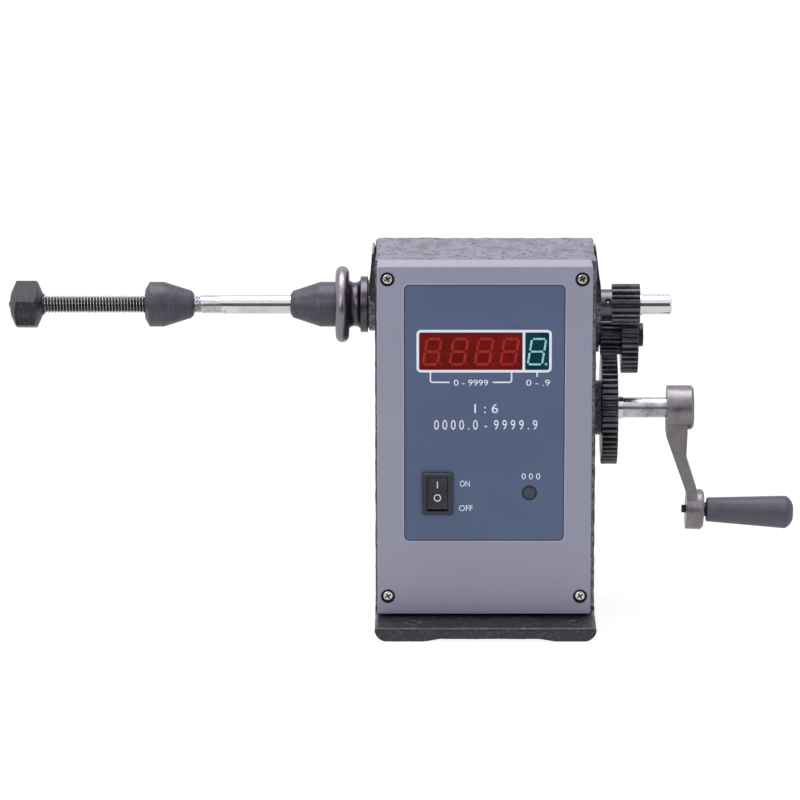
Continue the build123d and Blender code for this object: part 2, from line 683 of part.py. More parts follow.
with BuildPart() as reset_button:
    with BuildSketch(panel_plane(BUTTON_FACE_Y)):
        with Locations((BUTTON_X, BUTTON_Z)):
            Circle(BUTTON_R)
    extrude(amount=-BUTTON_CAP_T)
    fillet(reset_button.faces().sort_by(Axis.Y)[0].edges(), BUTTON_EDGE_R)
    with BuildSketch(panel_plane(BUTTON_FACE_Y + BUTTON_CAP_T)):
        with Locations((BUTTON_X, BUTTON_Z)):
            Circle(BUTTON_STEM_R)
    extrude(amount=BUTTON_FACE_Y + BUTTON_CAP_T - STEM_END_Y)

# Mains transformer on the casting's floor: stack, coil on its middle leg, and a strap
CORE_W = 42.0
CORE_D = 18.0
CORE_H = 35.0
CORE_WINDOW_W = 7.0
CORE_WINDOW_H = 21.0
CORE_LEG_W = 14.0
COIL_W = 27.6
COIL_D = 32.0
COIL_H = 20.6
STRAP_T = 0.8
STRAP_WIDTH = 14.0
STRAP_SPAN = 66.0
CORE_Z = FLOOR_Z
CORE_MID_Z = CORE_Z + CORE_H / 2

with BuildPart() as transformer_core:
    with BuildSketch(panel_plane(TRANSFORMER_Y)):
        with Locations((TRANSFORMER_X, CORE_MID_Z)):
            Rectangle(CORE_W, CORE_H)
            with GridLocations(CORE_LEG_W + CORE_WINDOW_W, 0, 2, 1):
                Rectangle(CORE_WINDOW_W, CORE_WINDOW_H, mode=Mode.SUBTRACT)
    extrude(amount=CORE_D / 2, both=True)

with BuildPart() as transformer_coil:
    with BuildSketch(Plane.XY.offset(CORE_MID_Z - COIL_H / 2)):
        with Locations((TRANSFORMER_X, TRANSFORMER_Y)):
            Rectangle(COIL_W, COIL_D)
            Rectangle(CORE_LEG_W, CORE_D, mode=Mode.SUBTRACT)
    extrude(amount=COIL_H)

with BuildPart() as transformer_strap:
    strap_half = CORE_W / 2 + STRAP_T
    with BuildSketch(panel_plane(TRANSFORMER_Y)):
        with Locations((TRANSFORMER_X, CORE_Z + (CORE_H + STRAP_T) / 2)):
            Rectangle(2 * strap_half, CORE_H + STRAP_T)
        with Locations((TRANSFORMER_X, CORE_Z + STRAP_T / 2)):
            Rectangle(STRAP_SPAN, STRAP_T)
        with Locations((TRANSFORMER_X, CORE_Z + CORE_H / 2)):
            Rectangle(CORE_W, CORE_H, mode=Mode.SUBTRACT)
    extrude(amount=STRAP_WIDTH / 2, both=True)
    with BuildSketch(Plane.XY.offset(CORE_Z)):
        with Locations((TRANSFORMER_X, TRANSFORMER_Y)):
            with GridLocations(2 * TRANSFORMER_SCREW_DX, 0, 2, 1):
                Circle(SCREW_CLEARANCE_R)
    extrude(amount=STRAP_T, mode=Mode.SUBTRACT)

with BuildPart() as transformer_screws:
    with BuildSketch(Plane.XY.offset(CORE_Z + STRAP_T)):
        with Locations((TRANSFORMER_X, TRANSFORMER_Y)):
            with GridLocations(2 * TRANSFORMER_SCREW_DX, 0, 2, 1):
                Circle(HEAD_R)
    extrude(amount=HEAD_T)
    with BuildSketch(Plane.XY.offset(CORE_Z + STRAP_T)):
        with Locations((TRANSFORMER_X, TRANSFORMER_Y)):
            with GridLocations(2 * TRANSFORMER_SCREW_DX, 0, 2, 1):
                Circle(SCREW_R)
    extrude(amount=SCREW_R - STRAP_T - TRANSFORMER_SCREW_DEPTH)

# Light barrier astride the slotted disc, on a bracket screwed to the left wall
SENSOR_ARM_Z = 124.0
SENSOR_T = 1.5
SENSOR_PLATE_Z0 = 111.0
SENSOR_PLATE_W = 16.0
SENSOR_ARM_X1 = -22.0
SENSOR_ARM_W = 8.0
SENSOR_W = 6.0
SENSOR_BASE_H = 6.0
SENSOR_TOP_Z = 139.0
SENSOR_GAP = 4.0
SENSOR_LENGTH = 13.0

with BuildPart() as sensor_bracket:
    with BuildSketch(Plane.YZ.offset(-INNER_X)):
        with Locations((SPINDLE_Y, (SENSOR_PLATE_Z0 + SENSOR_ARM_Z) / 2)):
            Rectangle(SENSOR_PLATE_W, SENSOR_ARM_Z - SENSOR_PLATE_Z0)
        with Locations(*SENSOR_SCREW_PLACES):
            Circle(SCREW_CLEARANCE_R, mode=Mode.SUBTRACT)
    extrude(amount=SENSOR_T)
    with BuildSketch(Plane.XY.offset(SENSOR_ARM_Z)):
        with Locations(((SENSOR_ARM_X1 - INNER_X) / 2, SPINDLE_Y)):
            Rectangle(SENSOR_ARM_X1 + INNER_X, SENSOR_ARM_W)
    extrude(amount=-SENSOR_T)

with BuildPart() as sensor_screws:
    with BuildSketch(Plane.YZ.offset(SENSOR_T - INNER_X)):
        with Locations(*SENSOR_SCREW_PLACES):
            Circle(HEAD_R)
    extrude(amount=HEAD_T)
    with BuildSketch(Plane.YZ.offset(SENSOR_T - INNER_X)):
        with Locations(*SENSOR_SCREW_PLACES):
            Circle(SCREW_R)
    extrude(amount=SCREW_R / 2 - SENSOR_T - SENSOR_SCREW_DEPTH)

with BuildPart() as photo_interrupter:
    with BuildSketch(Plane.XZ):
        with Locations((DISC_X, (SENSOR_ARM_Z + SENSOR_TOP_Z) / 2)):
            Rectangle(SENSOR_LENGTH, SENSOR_TOP_Z - SENSOR_ARM_Z)
        with Locations((DISC_X, (SENSOR_ARM_Z + SENSOR_BASE_H + SENSOR_TOP_Z) / 2)):
            Rectangle(SENSOR_GAP, SENSOR_TOP_Z - SENSOR_ARM_Z - SENSOR_BASE_H, mode=Mode.SUBTRACT)
    extrude(amount=SENSOR_W / 2, both=True)

# Bronze bushes in the casting's bores, and the rubber cable entry
with BuildPart() as left_spindle_bush:
    revolve(
        sleeve(LEFT_BOSS_X, INNER_BOSS_L - INNER_X, SPINDLE_R + RUNNING_GAP, BUSH_R, SPINDLE_PLANE),
        axis=SPINDLE_AXIS,
    )

with BuildPart() as right_spindle_bush:
    revolve(
        sleeve(INNER_X - INNER_BOSS_L, RIGHT_BOSS_X, SPINDLE_R + RUNNING_GAP, BUSH_R, SPINDLE_PLANE),
        axis=SPINDLE_AXIS,
    )

with BuildPart() as left_crank_bush:
    revolve(
        sleeve(-CASTING_W / 2, CRANK_INNER_BOSS_L - INNER_X, SHAFT_R + RUNNING_GAP, BUSH_R, CRANK_PLANE),
        axis=CRANK_AXIS,
    )

with BuildPart() as right_crank_bush:
    revolve(
        sleeve(INNER_X - CRANK_INNER_BOSS_L, CRANK_BOSS_X, SHAFT_R + RUNNING_GAP, BUSH_R, CRANK_PLANE),
        axis=CRANK_AXIS,
    )

GROMMET_LIP_R = 8.0
GROMMET_LIP_T = 2.0
GROMMET_HOLE_R = 3.5

with BuildPart() as cable_grommet:
    with BuildSketch(panel_plane(CASTING_D / 2)):
        with Locations((GROMMET_X, GROMMET_Z)):
            Circle(GROMMET_R)
    extrude(amount=WALL)
    for lip_y in (CASTING_D / 2 + GROMMET_LIP_T, CASTING_D / 2 - WALL):
        with BuildSketch(panel_plane(lip_y)):
            with Locations((GROMMET_X, GROMMET_Z)):
                Circle(GROMMET_LIP_R)
        extrude(amount=GROMMET_LIP_T)
    with BuildSketch(panel_plane(CASTING_D)):
        with Locations((GROMMET_X, GROMMET_Z)):
            Circle(GROMMET_HOLE_R)
    extrude(amount=CASTING_D, mode=Mode.SUBTRACT)

# Winding spindle: thread, neck and plain length to the left, thicker from the pulley to the pinion
SPINDLE_CHAMFER = 0.8
SHOULDER_CHAMFER = 0.1
TIP_R = 1.0
TIP_SHOULDER_R = 2.6
FREE_END_X0 = 76.6
FREE_END_R = 5.0

with BuildPart() as spindle:
    spindle_points = [
        (SPINDLE_TIP_X, 0),
        (SPINDLE_TIP_X, TIP_R),
        (TIP_SHOULDER_X, TIP_SHOULDER_R),
        *thread_points(THREAD_X0, THREAD_X1, THREAD_PITCH, THREAD_CREST_R, THREAD_ROOT_R),
        (SHOULDER_X, NECK_R),
        (SHOULDER_X, PLAIN_R - SHOULDER_CHAMFER),
        (SHOULDER_X + SHOULDER_CHAMFER, PLAIN_R),
        (PULLEY_WEB_X, PLAIN_R),
        (PULLEY_WEB_X, SPINDLE_R),
        (FREE_END_X0, SPINDLE_R),
        (FREE_END_X0, FREE_END_R),
        (SPINDLE_END_X - SPINDLE_CHAMFER, FREE_END_R),
        (SPINDLE_END_X, FREE_END_R - SPINDLE_CHAMFER),
        (SPINDLE_END_X, 0),
    ]
    revolve(outline(spindle_points, SPINDLE_PLANE), axis=SPINDLE_AXIS)

# Fixed cone, pushed up to the pulley's web
FIXED_CONE_TIP_X = -95.45
FIXED_CONE_NOSE_X = -94.0
FIXED_CONE_NOSE_R = 6.6
FIXED_CONE_FULL_X = -80.7

with BuildPart() as fixed_cone:
    cone_points = [
        (FIXED_CONE_TIP_X, PLAIN_R),
        (FIXED_CONE_NOSE_X, FIXED_CONE_NOSE_R),
        (FIXED_CONE_FULL_X, CONE_R),
        (PULLEY_WEB_X, CONE_R),
        (PULLEY_WEB_X, PLAIN_R),
    ]
    revolve(outline(cone_points, SPINDLE_PLANE), axis=SPINDLE_AXIS)

# Pulley: round rim for the hand, round belt groove and a plain flange
RIM_SIDE_R = RIM_MID_R - (RIM_TUBE_R**2 - (RIM_X - PULLEY_WEB_X) ** 2) ** 0.5
RIM_DIAGONAL = RIM_TUBE_R * cos(radians(45))

with BuildPart() as drive_pulley:
    with BuildSketch(SPINDLE_PLANE):
        with BuildLine():
            Line((PULLEY_WEB_X, SPINDLE_R), (PULLEY_WEB_X, RIM_SIDE_R))
            ThreePointArc(
                (PULLEY_WEB_X, RIM_SIDE_R),
                (RIM_X - RIM_DIAGONAL, RIM_MID_R + RIM_DIAGONAL),
                (GROOVE_X0, RIM_MID_R),
            )
            Line((GROOVE_X0, RIM_MID_R), (GROOVE_X0, GROOVE_EDGE_R))
            ThreePointArc(
                (GROOVE_X0, GROOVE_EDGE_R),
                ((GROOVE_X0 + GROOVE_X1) / 2, GROOVE_FLOOR_R),
                (GROOVE_X1, GROOVE_EDGE_R),
            )
            Polyline(
                (GROOVE_X1, GROOVE_EDGE_R),
                (GROOVE_X1, FLANGE_R),
                (PULLEY_END_X, FLANGE_R),
                (PULLEY_END_X, SPINDLE_R),
                (PULLEY_WEB_X, SPINDLE_R),
            )
        make_face()
    revolve(axis=SPINDLE_AXIS)

WASHER_R = 12.0
WASHER_T = 0.5

with BuildPart() as thrust_washer:
    revolve(
        sleeve(PULLEY_END_X, PULLEY_END_X + WASHER_T, SPINDLE_R, WASHER_R, SPINDLE_PLANE),
        axis=SPINDLE_AXIS,
    )

# Spindle pinion with its hub and a radial set-screw hole facing the front
SET_SCREW_PINION_X = 60.0
DISC_HUB_R = 8.0
DISC_HUB_L = 9.0
DISC_HUB_X0 = DISC_X + DISC_T / 2
SET_SCREW_DISC_X = DISC_HUB_X0 + DISC_HUB_L / 2
SET_SCREW_SINK = 0.4


def radial_plane(x):
    """Plane through the spindle line at x, whose normal is the set screws' direction."""
    tilt = radians(SET_SCREW_ANGLE)
    return Plane(origin=(x, SPINDLE_Y, SPINDLE_Z), x_dir=(1, 0, 0), z_dir=(0, -cos(tilt), sin(tilt)))


with BuildPart() as spindle_pinion:
    pinion_plane = Plane(origin=(PINION_X0, SPINDLE_Y, SPINDLE_Z), x_dir=(0, 1, 0), z_dir=(1, 0, 0))
    extrude(
        gear_outline(PINION_TEETH, IDLER_TO_SPINDLE + 180 + HALF_PITCH, pinion_plane),
        amount=PINION_X1 - PINION_X0,
    )
    revolve(sleeve(PINION_HUB_X0, PINION_X0, SPINDLE_R, PINION_HUB_R, SPINDLE_PLANE), axis=SPINDLE_AXIS)
    with BuildSketch(pinion_plane):
        Circle(SPINDLE_R)
    extrude(amount=PINION_X1 - PINION_X0, mode=Mode.SUBTRACT)
    with BuildSketch(radial_plane(SET_SCREW_PINION_X)):
        Circle(SET_SCREW_R)
    extrude(amount=PINION_HUB_R * 2, mode=Mode.SUBTRACT)

# Slotted disc and hub that the light barrier reads
SLOT_W = 2.4
SLOT_DEPTH = 5.0

with BuildPart() as slotted_disc:
    with BuildSketch(Plane.YZ.offset(DISC_X - DISC_T / 2)):
        with Locations((SPINDLE_Y, SPINDLE_Z)):
            Circle(DISC_R)
            with PolarLocations(DISC_R - SLOT_DEPTH / 2, DISC_SLOTS):
                Rectangle(SLOT_DEPTH, SLOT_W, mode=Mode.SUBTRACT)
            Circle(SPINDLE_R, mode=Mode.SUBTRACT)
    extrude(amount=DISC_T)

with BuildPart() as disc_hub:
    revolve(
        sleeve(DISC_HUB_X0, DISC_HUB_X0 + DISC_HUB_L, SPINDLE_R, DISC_HUB_R, SPINDLE_PLANE),
        axis=SPINDLE_AXIS,
    )
    with BuildSketch(radial_plane(SET_SCREW_DISC_X)):
        Circle(SET_SCREW_R)
    extrude(amount=DISC_HUB_R * 2, mode=Mode.SUBTRACT)

with BuildPart() as spindle_set_screws:
    for screw_x, hub_r in ((SET_SCREW_PINION_X, PINION_HUB_R), (SET_SCREW_DISC_X, DISC_HUB_R)):
        with BuildSketch(radial_plane(screw_x).offset(SPINDLE_R)):
            Circle(SET_SCREW_R)
            RegularPolygon(SET_SCREW_R / 2, 6, mode=Mode.SUBTRACT)
        extrude(amount=hub_r - SET_SCREW_SINK - SPINDLE_R)

# Loose cone: slides along the spindle to clamp a bobbin
LOOSE_CONE_X0 = -166.7
LOOSE_CONE_X1 = -142.6
LOOSE_CONE_MOUTH_R = 5.3
LOOSE_CONE_BORE_R = 4.72

with BuildPart() as loose_cone:
    loose_cone_points = [
        (LOOSE_CONE_X0, LOOSE_CONE_BORE_R),
        (LOOSE_CONE_X0, LOOSE_CONE_MOUTH_R),
        (-166.3, 7.6),
        (-164.3, CONE_R),
        (-157.4, CONE_R),
        (-143.9, 6.75),
        (LOOSE_CONE_X1, LOOSE_CONE_MOUTH_R),
        (LOOSE_CONE_X1, LOOSE_CONE_BORE_R),
    ]
    revolve(outline(loose_cone_points, SPINDLE_PLANE), axis=SPINDLE_AXIS)

# Clamping knob: six-sided moulding, threaded insert and the washer it pushes with
KNOB_FLATS = 22.0
KNOB_ROUND_R = 12.7
KNOB_TURN = -17.5
KNOB_X0 = -232.4
KNOB_X1 = -216.8
INSERT_R = 6.5
INSERT_X0 = -230.0
INSERT_X1 = -220.0
THREAD_BORE_R = THREAD_CREST_R + RUNNING_GAP
KNOB_WASHER_X0 = -216.75
KNOB_WASHER_X1 = -215.95
KNOB_WASHER_R = 5.2

with BuildPart() as clamp_knob:
    knob_points = [
        (KNOB_X0, 0),
        (KNOB_X0, 5.0),
        (-231.7, 7.0),
        (-230.5, 9.6),
        (-229.1, KNOB_ROUND_R),
        (-220.1, KNOB_ROUND_R),
        (-218.4, 9.1),
        (KNOB_X1, 5.4),
        (KNOB_X1, 0),
    ]
    revolve(outline(knob_points, SPINDLE_PLANE), axis=SPINDLE_AXIS)
    with BuildSketch(Plane.YZ.offset(KNOB_X1)):
        with Locations((SPINDLE_Y, SPINDLE_Z)):
            RegularPolygon(KNOB_FLATS / 2, 6, major_radius=False, rotation=KNOB_TURN)
    extrude(amount=KNOB_X0 - KNOB_X1, mode=Mode.INTERSECT)
    revolve(
        sleeve(INSERT_X0, INSERT_X1, 0, INSERT_R, SPINDLE_PLANE),
        axis=SPINDLE_AXIS,
        mode=Mode.SUBTRACT,
    )
    revolve(
        sleeve(KNOB_X0, KNOB_X1, 0, THREAD_BORE_R, SPINDLE_PLANE),
        axis=SPINDLE_AXIS,
        mode=Mode.SUBTRACT,
    )

with BuildPart() as knob_insert:
    revolve(sleeve(INSERT_X0, INSERT_X1, THREAD_BORE_R, INSERT_R, SPINDLE_PLANE), axis=SPINDLE_AXIS)

with BuildPart() as knob_washer:
    revolve(
        sleeve(KNOB_WASHER_X0, KNOB_WASHER_X1, THREAD_BORE_R, KNOB_WASHER_R, SPINDLE_PLANE),
        axis=SPINDLE_AXIS,
    )

# Idler: a shoulder screw in the wall, a washer under its head and two gears on one bush
IDLER_HEAD_R = 5.8
IDLER_HEAD_T = 2.0
IDLER_WASHER_R = 6.4
IDLER_WASHER_X0 = 75.85
IDLER_SHOULDER_X1 = 76.4
IDLER_BUSH_X0 = 56.6
IDLER_BUSH_X1 = 75.65
IDLER_SOCKET_R = 2.9
IDLER_SOCKET_DEPTH = 1.4

with BuildPart() as idler_stud:
    stud_points = [
        (INNER_X, 0),
        (INNER_X, 2 * SCREW_R),
        (RIGHT_BOSS_X, 2 * SCREW_R),
        (RIGHT_BOSS_X, IDLER_PIN_R),
        (IDLER_SHOULDER_X1, IDLER_PIN_R),
        (IDLER_SHOULDER_X1, IDLER_HEAD_R),
        (IDLER_SHOULDER_X1 + IDLER_HEAD_T, IDLER_HEAD_R),
        (IDLER_SHOULDER_X1 + IDLER_HEAD_T, 0),
    ]
    revolve(outline(stud_points, IDLER_PLANE), axis=IDLER_AXIS)
    with BuildSketch(Plane.YZ.offset(IDLER_SHOULDER_X1 + IDLER_HEAD_T)):
        with Locations((IDLER_Y, IDLER_Z)):
            RegularPolygon(IDLER_SOCKET_R, 6)
    extrude(amount=-IDLER_SOCKET_DEPTH, mode=Mode.SUBTRACT)

with BuildPart() as idler_washer:
    revolve(
        sleeve(IDLER_WASHER_X0, IDLER_SHOULDER_X1, IDLER_PIN_R, IDLER_WASHER_R, IDLER_PLANE),
        axis=IDLER_AXIS,
    )

with BuildPart() as idler_bush:
    revolve(
        sleeve(IDLER_BUSH_X0, IDLER_BUSH_X1, IDLER_PIN_R + RUNNING_GAP, IDLER_BUSH_R, IDLER_PLANE),
        axis=IDLER_AXIS,
    )

with BuildPart() as idler_gear_small:
    small_plane = Plane(origin=(IDLER_SMALL_X0, IDLER_Y, IDLER_Z), x_dir=(0, 1, 0), z_dir=(1, 0, 0))
    extrude(
        gear_outline(IDLER_SMALL_TEETH, CRANK_TO_IDLER + 180 + HALF_PITCH, small_plane),
        amount=IDLER_STEP_X - IDLER_SMALL_X0,
    )
    with BuildSketch(small_plane):
        Circle(IDLER_BUSH_R)
    extrude(amount=IDLER_STEP_X - IDLER_SMALL_X0, mode=Mode.SUBTRACT)

with BuildPart() as idler_gear_large:
    large_plane = Plane(origin=(IDLER_STEP_X, IDLER_Y, IDLER_Z), x_dir=(0, 1, 0), z_dir=(1, 0, 0))
    extrude(
        gear_outline(IDLER_LARGE_TEETH, IDLER_TO_SPINDLE, large_plane),
        amount=IDLER_END_X - IDLER_STEP_X,
    )
    with BuildSketch(large_plane):
        Circle(IDLER_BUSH_R)
    extrude(amount=IDLER_END_X - IDLER_STEP_X, mode=Mode.SUBTRACT)

# Crank shaft, its gear and spacer, and the ring that keeps it in the casting
SHAFT_CHAMFER = 0.6
SPACER_R = 5.6
SPACER_X1 = 68.4
RING_X0 = -35.7
RING_T = 1.0
RING_R = 7.6
SHAFT_END_X = CRANK_HUB_X1 - 0.4

with BuildPart() as crank_shaft:
    shaft_points = [
        (CRANK_SHAFT_X0, 0),
        (CRANK_SHAFT_X0, SHAFT_R - SHAFT_CHAMFER),
        (CRANK_SHAFT_X0 + SHAFT_CHAMFER, SHAFT_R),
        (SHAFT_END_X - SHAFT_CHAMFER, SHAFT_R),
        (SHAFT_END_X, SHAFT_R - SHAFT_CHAMFER),
        (SHAFT_END_X, 0),
    ]
    revolve(outline(shaft_points, CRANK_PLANE), axis=CRANK_AXIS)

with BuildPart() as crank_gear:
    gear_plane = Plane(origin=(CRANK_GEAR_X0, CRANK_Y, CRANK_Z), x_dir=(0, 1, 0), z_dir=(1, 0, 0))
    extrude(
        gear_outline(CRANK_TEETH, CRANK_TO_IDLER, gear_plane),
        amount=CRANK_GEAR_X1 - CRANK_GEAR_X0,
    )
    with BuildSketch(gear_plane):
        Circle(SHAFT_R)
    extrude(amount=CRANK_GEAR_X1 - CRANK_GEAR_X0, mode=Mode.SUBTRACT)

with BuildPart() as crank_spacer:
    revolve(sleeve(CRANK_GEAR_X1, SPACER_X1, SHAFT_R, SPACER_R, CRANK_PLANE), axis=CRANK_AXIS)

with BuildPart() as crank_ring:
    revolve(sleeve(RING_X0, RING_X0 + RING_T, SHAFT_R, RING_R, CRANK_PLANE), axis=CRANK_AXIS)

# Crank arm: hub on the shaft, an offset arm and the handle's boss, in one casting
HUB_EDGE_R = 1.2
ARM_SCREW_R = 2.0
ARM_SCREW_X = 96.8
ARM_SECTION = [
    (89.9, 93.0),
    (89.9, 85.8),
    (101.4, 53.4),
    (102.2, 46.0),
    (106.2, 46.0),
    (105.6, 57.4),
    (99.9, 75.2),
    (100.35, 87.3),
    (100.35, 93.0),
]

with BuildPart() as crank_arm:
    hub_points = [
        (CRANK_HUB_X0, 0),
        (CRANK_HUB_X0, CRANK_HUB_R),
        (CRANK_HUB_X1 - HUB_EDGE_R, CRANK_HUB_R),
        (CRANK_HUB_X1, CRANK_HUB_R - HUB_EDGE_R),
        (CRANK_HUB_X1, 0),
    ]
    revolve(outline(hub_points, CRANK_PLANE), axis=CRANK_AXIS)
    extrude(outline(ARM_SECTION, panel_plane(CRANK_Y)), amount=ARM_WIDTH / 2, both=True)
    boss_points = [
        (0, 0),
        (0, HANDLE_BOSS_R),
        (HANDLE_BOSS_L - HUB_EDGE_R, HANDLE_BOSS_R),
        (HANDLE_BOSS_L, HANDLE_BOSS_R - HUB_EDGE_R),
        (HANDLE_BOSS_L, 0),
    ]
    revolve(outline(boss_points, HANDLE_PLANE), axis=HANDLE_AXIS)
    revolve(
        sleeve(-HANDLE_BOSS_L, 2 * HANDLE_BOSS_L, 0, HANDLE_PIN_R, HANDLE_PLANE),
        axis=HANDLE_AXIS,
        mode=Mode.SUBTRACT,
    )
    revolve(
        sleeve(CRANK_HUB_X0, CRANK_HUB_X1, 0, SHAFT_R, CRANK_PLANE),
        axis=CRANK_AXIS,
        mode=Mode.SUBTRACT,
    )
    with BuildSketch(panel_plane(CRANK_Y)):
        with Locations((ARM_SCREW_X, CRANK_Z)):
            Circle(ARM_SCREW_R)
    extrude(amount=-2 * CRANK_HUB_R, mode=Mode.SUBTRACT)

with BuildPart() as crank_set_screw:
    with BuildSketch(panel_plane(CRANK_Y + SHAFT_R)):
        with Locations((ARM_SCREW_X, CRANK_Z)):
            Circle(ARM_SCREW_R)
            RegularPolygon(ARM_SCREW_R / 2, 6, mode=Mode.SUBTRACT)
    extrude(amount=-(CRANK_HUB_R - SHAFT_R - SET_SCREW_SINK))

# Handle: a headed pin riveted through the arm's boss, a tapered grip and its end cap
STUB_R = 2.0
STUB_START = -2.15
COLLAR_R = 3.5
COLLAR_END = 10.05
PIN_HEAD_START = 46.5
PIN_HEAD_END = 49.0
PIN_HEAD_R = 4.0
GRIP_START_R = 6.0
GRIP_FULL_R = 8.15
GRIP_LIP = 0.5
GRIP_POCKET_R = 4.3
GRIP_POCKET_START = 46.2
CAP_SPIGOT_START = 49.4
CAP_MIDDLE_X = 52.2
CAP_MIDDLE_R = 5.87
CAP_FLAT_R = 3.67

with BuildPart() as handle_bolt:
    bolt_points = [
        (STUB_START, 0),
        (STUB_START, STUB_R),
        (0, STUB_R),
        (0, HANDLE_PIN_R),
        (HANDLE_BOSS_L, HANDLE_PIN_R),
        (HANDLE_BOSS_L, COLLAR_R),
        (COLLAR_END, COLLAR_R),
        (COLLAR_END, HANDLE_PIN_R),
        (PIN_HEAD_START, HANDLE_PIN_R),
        (PIN_HEAD_START, PIN_HEAD_R),
        (PIN_HEAD_END, PIN_HEAD_R),
        (PIN_HEAD_END, 0),
    ]
    revolve(outline(bolt_points, HANDLE_PLANE), axis=HANDLE_AXIS)

with BuildPart() as handle_grip:
    grip_points = [
        (GRIP_START, HANDLE_PIN_R + RUNNING_GAP),
        (GRIP_START, GRIP_START_R - GRIP_LIP),
        (GRIP_START + GRIP_LIP, GRIP_START_R),
        (GRIP_END - GRIP_LIP, GRIP_FULL_R),
        (GRIP_END, GRIP_FULL_R - GRIP_LIP / 2),
        (GRIP_END, GRIP_POCKET_R),
        (GRIP_POCKET_START, GRIP_POCKET_R),
        (GRIP_POCKET_START, HANDLE_PIN_R + RUNNING_GAP),
    ]
    revolve(outline(grip_points, HANDLE_PLANE), axis=HANDLE_AXIS)

with BuildPart() as grip_end_cap:
    with BuildSketch(HANDLE_PLANE):
        with BuildLine():
            Polyline(
                (GRIP_TIP, 0),
                (CAP_SPIGOT_START, 0),
                (CAP_SPIGOT_START, GRIP_POCKET_R),
                (GRIP_END, GRIP_POCKET_R),
                (GRIP_END, GRIP_FULL_R - GRIP_LIP / 2),
            )
            ThreePointArc(
                (GRIP_END, GRIP_FULL_R - GRIP_LIP / 2),
                (CAP_MIDDLE_X, CAP_MIDDLE_R),
                (GRIP_TIP, CAP_FLAT_R),
            )
            Line((GRIP_TIP, CAP_FLAT_R), (GRIP_TIP, 0))
        make_face()
    revolve(axis=HANDLE_AXIS)

PIECES = {
    "frame_casting": frame_casting,
    "front_cover": front_cover,
    "panel_overlay": panel_overlay,
    "cover_cups": cover_cups,
    "cover_screws": cover_screws,
    "count_display": count_display,
    "decimal_display": decimal_display,
    "circuit_board": circuit_board,
    "board_standoffs": board_standoffs,
    "board_screws": board_screws,
    "board_components": board_components,
    "switch_housing": switch_housing,
    "switch_terminals": switch_terminals,
    "reset_switch_body": reset_switch_body,
    "transformer_core": transformer_core,
    "transformer_coil": transformer_coil,
    "transformer_strap": transformer_strap,
    "transformer_screws": transformer_screws,
    "sensor_bracket": sensor_bracket,
    "sensor_screws": sensor_screws,
    "photo_interrupter": photo_interrupter,
    "left_spindle_bush": left_spindle_bush,
    "right_spindle_bush": right_spindle_bush,
    "left_crank_bush": left_crank_bush,
    "right_crank_bush": right_crank_bush,
    "idler_stud": idler_stud,
    "idler_washer": idler_washer,
    "cable_grommet": cable_grommet,
    "spindle": spindle,
    "fixed_cone": fixed_cone,
    "drive_pulley": drive_pulley,
    "thrust_washer": thrust_washer,
    "spindle_pinion": spindle_pinion,
    "slotted_disc": slotted_disc,
    "disc_hub": disc_hub,
    "spindle_set_screws": spindle_set_screws,
    "loose_cone": loose_cone,
    "knob_washer": knob_washer,
    "clamp_knob": clamp_knob,
    "knob_insert": knob_insert,
    "idler_gear_large": idler_gear_large,
    "idler_gear_small": idler_gear_small,
    "idler_bush": idler_bush,
    "crank_shaft": crank_shaft,
    "crank_gear": crank_gear,
    "crank_spacer": crank_spacer,
    "crank_ring": crank_ring,
    "crank_arm": crank_arm,
    "crank_set_screw": crank_set_screw,
    "handle_bolt": handle_bolt,
    "handle_grip": handle_grip,
    "grip_end_cap": grip_end_cap,
    "power_rocker": power_rocker,
    "reset_button": reset_button,
}

os.makedirs("parts", exist_ok=True)
for name, piece in PIECES.items():
    piece.part.label = name
    export_step(piece.part, f"parts/{name}.step")
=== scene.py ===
import json
import math

import bmesh
import bpy
import numpy as np
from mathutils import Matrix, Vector, noise


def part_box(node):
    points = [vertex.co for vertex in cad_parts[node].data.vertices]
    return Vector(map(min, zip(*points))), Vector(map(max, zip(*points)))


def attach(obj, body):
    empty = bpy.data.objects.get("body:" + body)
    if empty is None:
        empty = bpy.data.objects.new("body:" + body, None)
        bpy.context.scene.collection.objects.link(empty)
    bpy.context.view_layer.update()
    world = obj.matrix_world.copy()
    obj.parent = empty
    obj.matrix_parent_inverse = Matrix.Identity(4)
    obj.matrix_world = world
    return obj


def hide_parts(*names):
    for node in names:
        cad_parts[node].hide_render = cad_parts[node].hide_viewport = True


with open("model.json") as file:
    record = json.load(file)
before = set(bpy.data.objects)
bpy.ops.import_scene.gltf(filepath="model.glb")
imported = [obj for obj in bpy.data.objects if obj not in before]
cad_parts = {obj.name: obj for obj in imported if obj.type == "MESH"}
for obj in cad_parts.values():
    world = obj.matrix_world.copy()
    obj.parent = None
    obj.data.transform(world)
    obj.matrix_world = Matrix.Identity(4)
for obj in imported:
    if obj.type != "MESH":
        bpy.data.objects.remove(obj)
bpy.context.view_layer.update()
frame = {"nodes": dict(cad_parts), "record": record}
nodes = frame["nodes"]
scene = bpy.context.scene

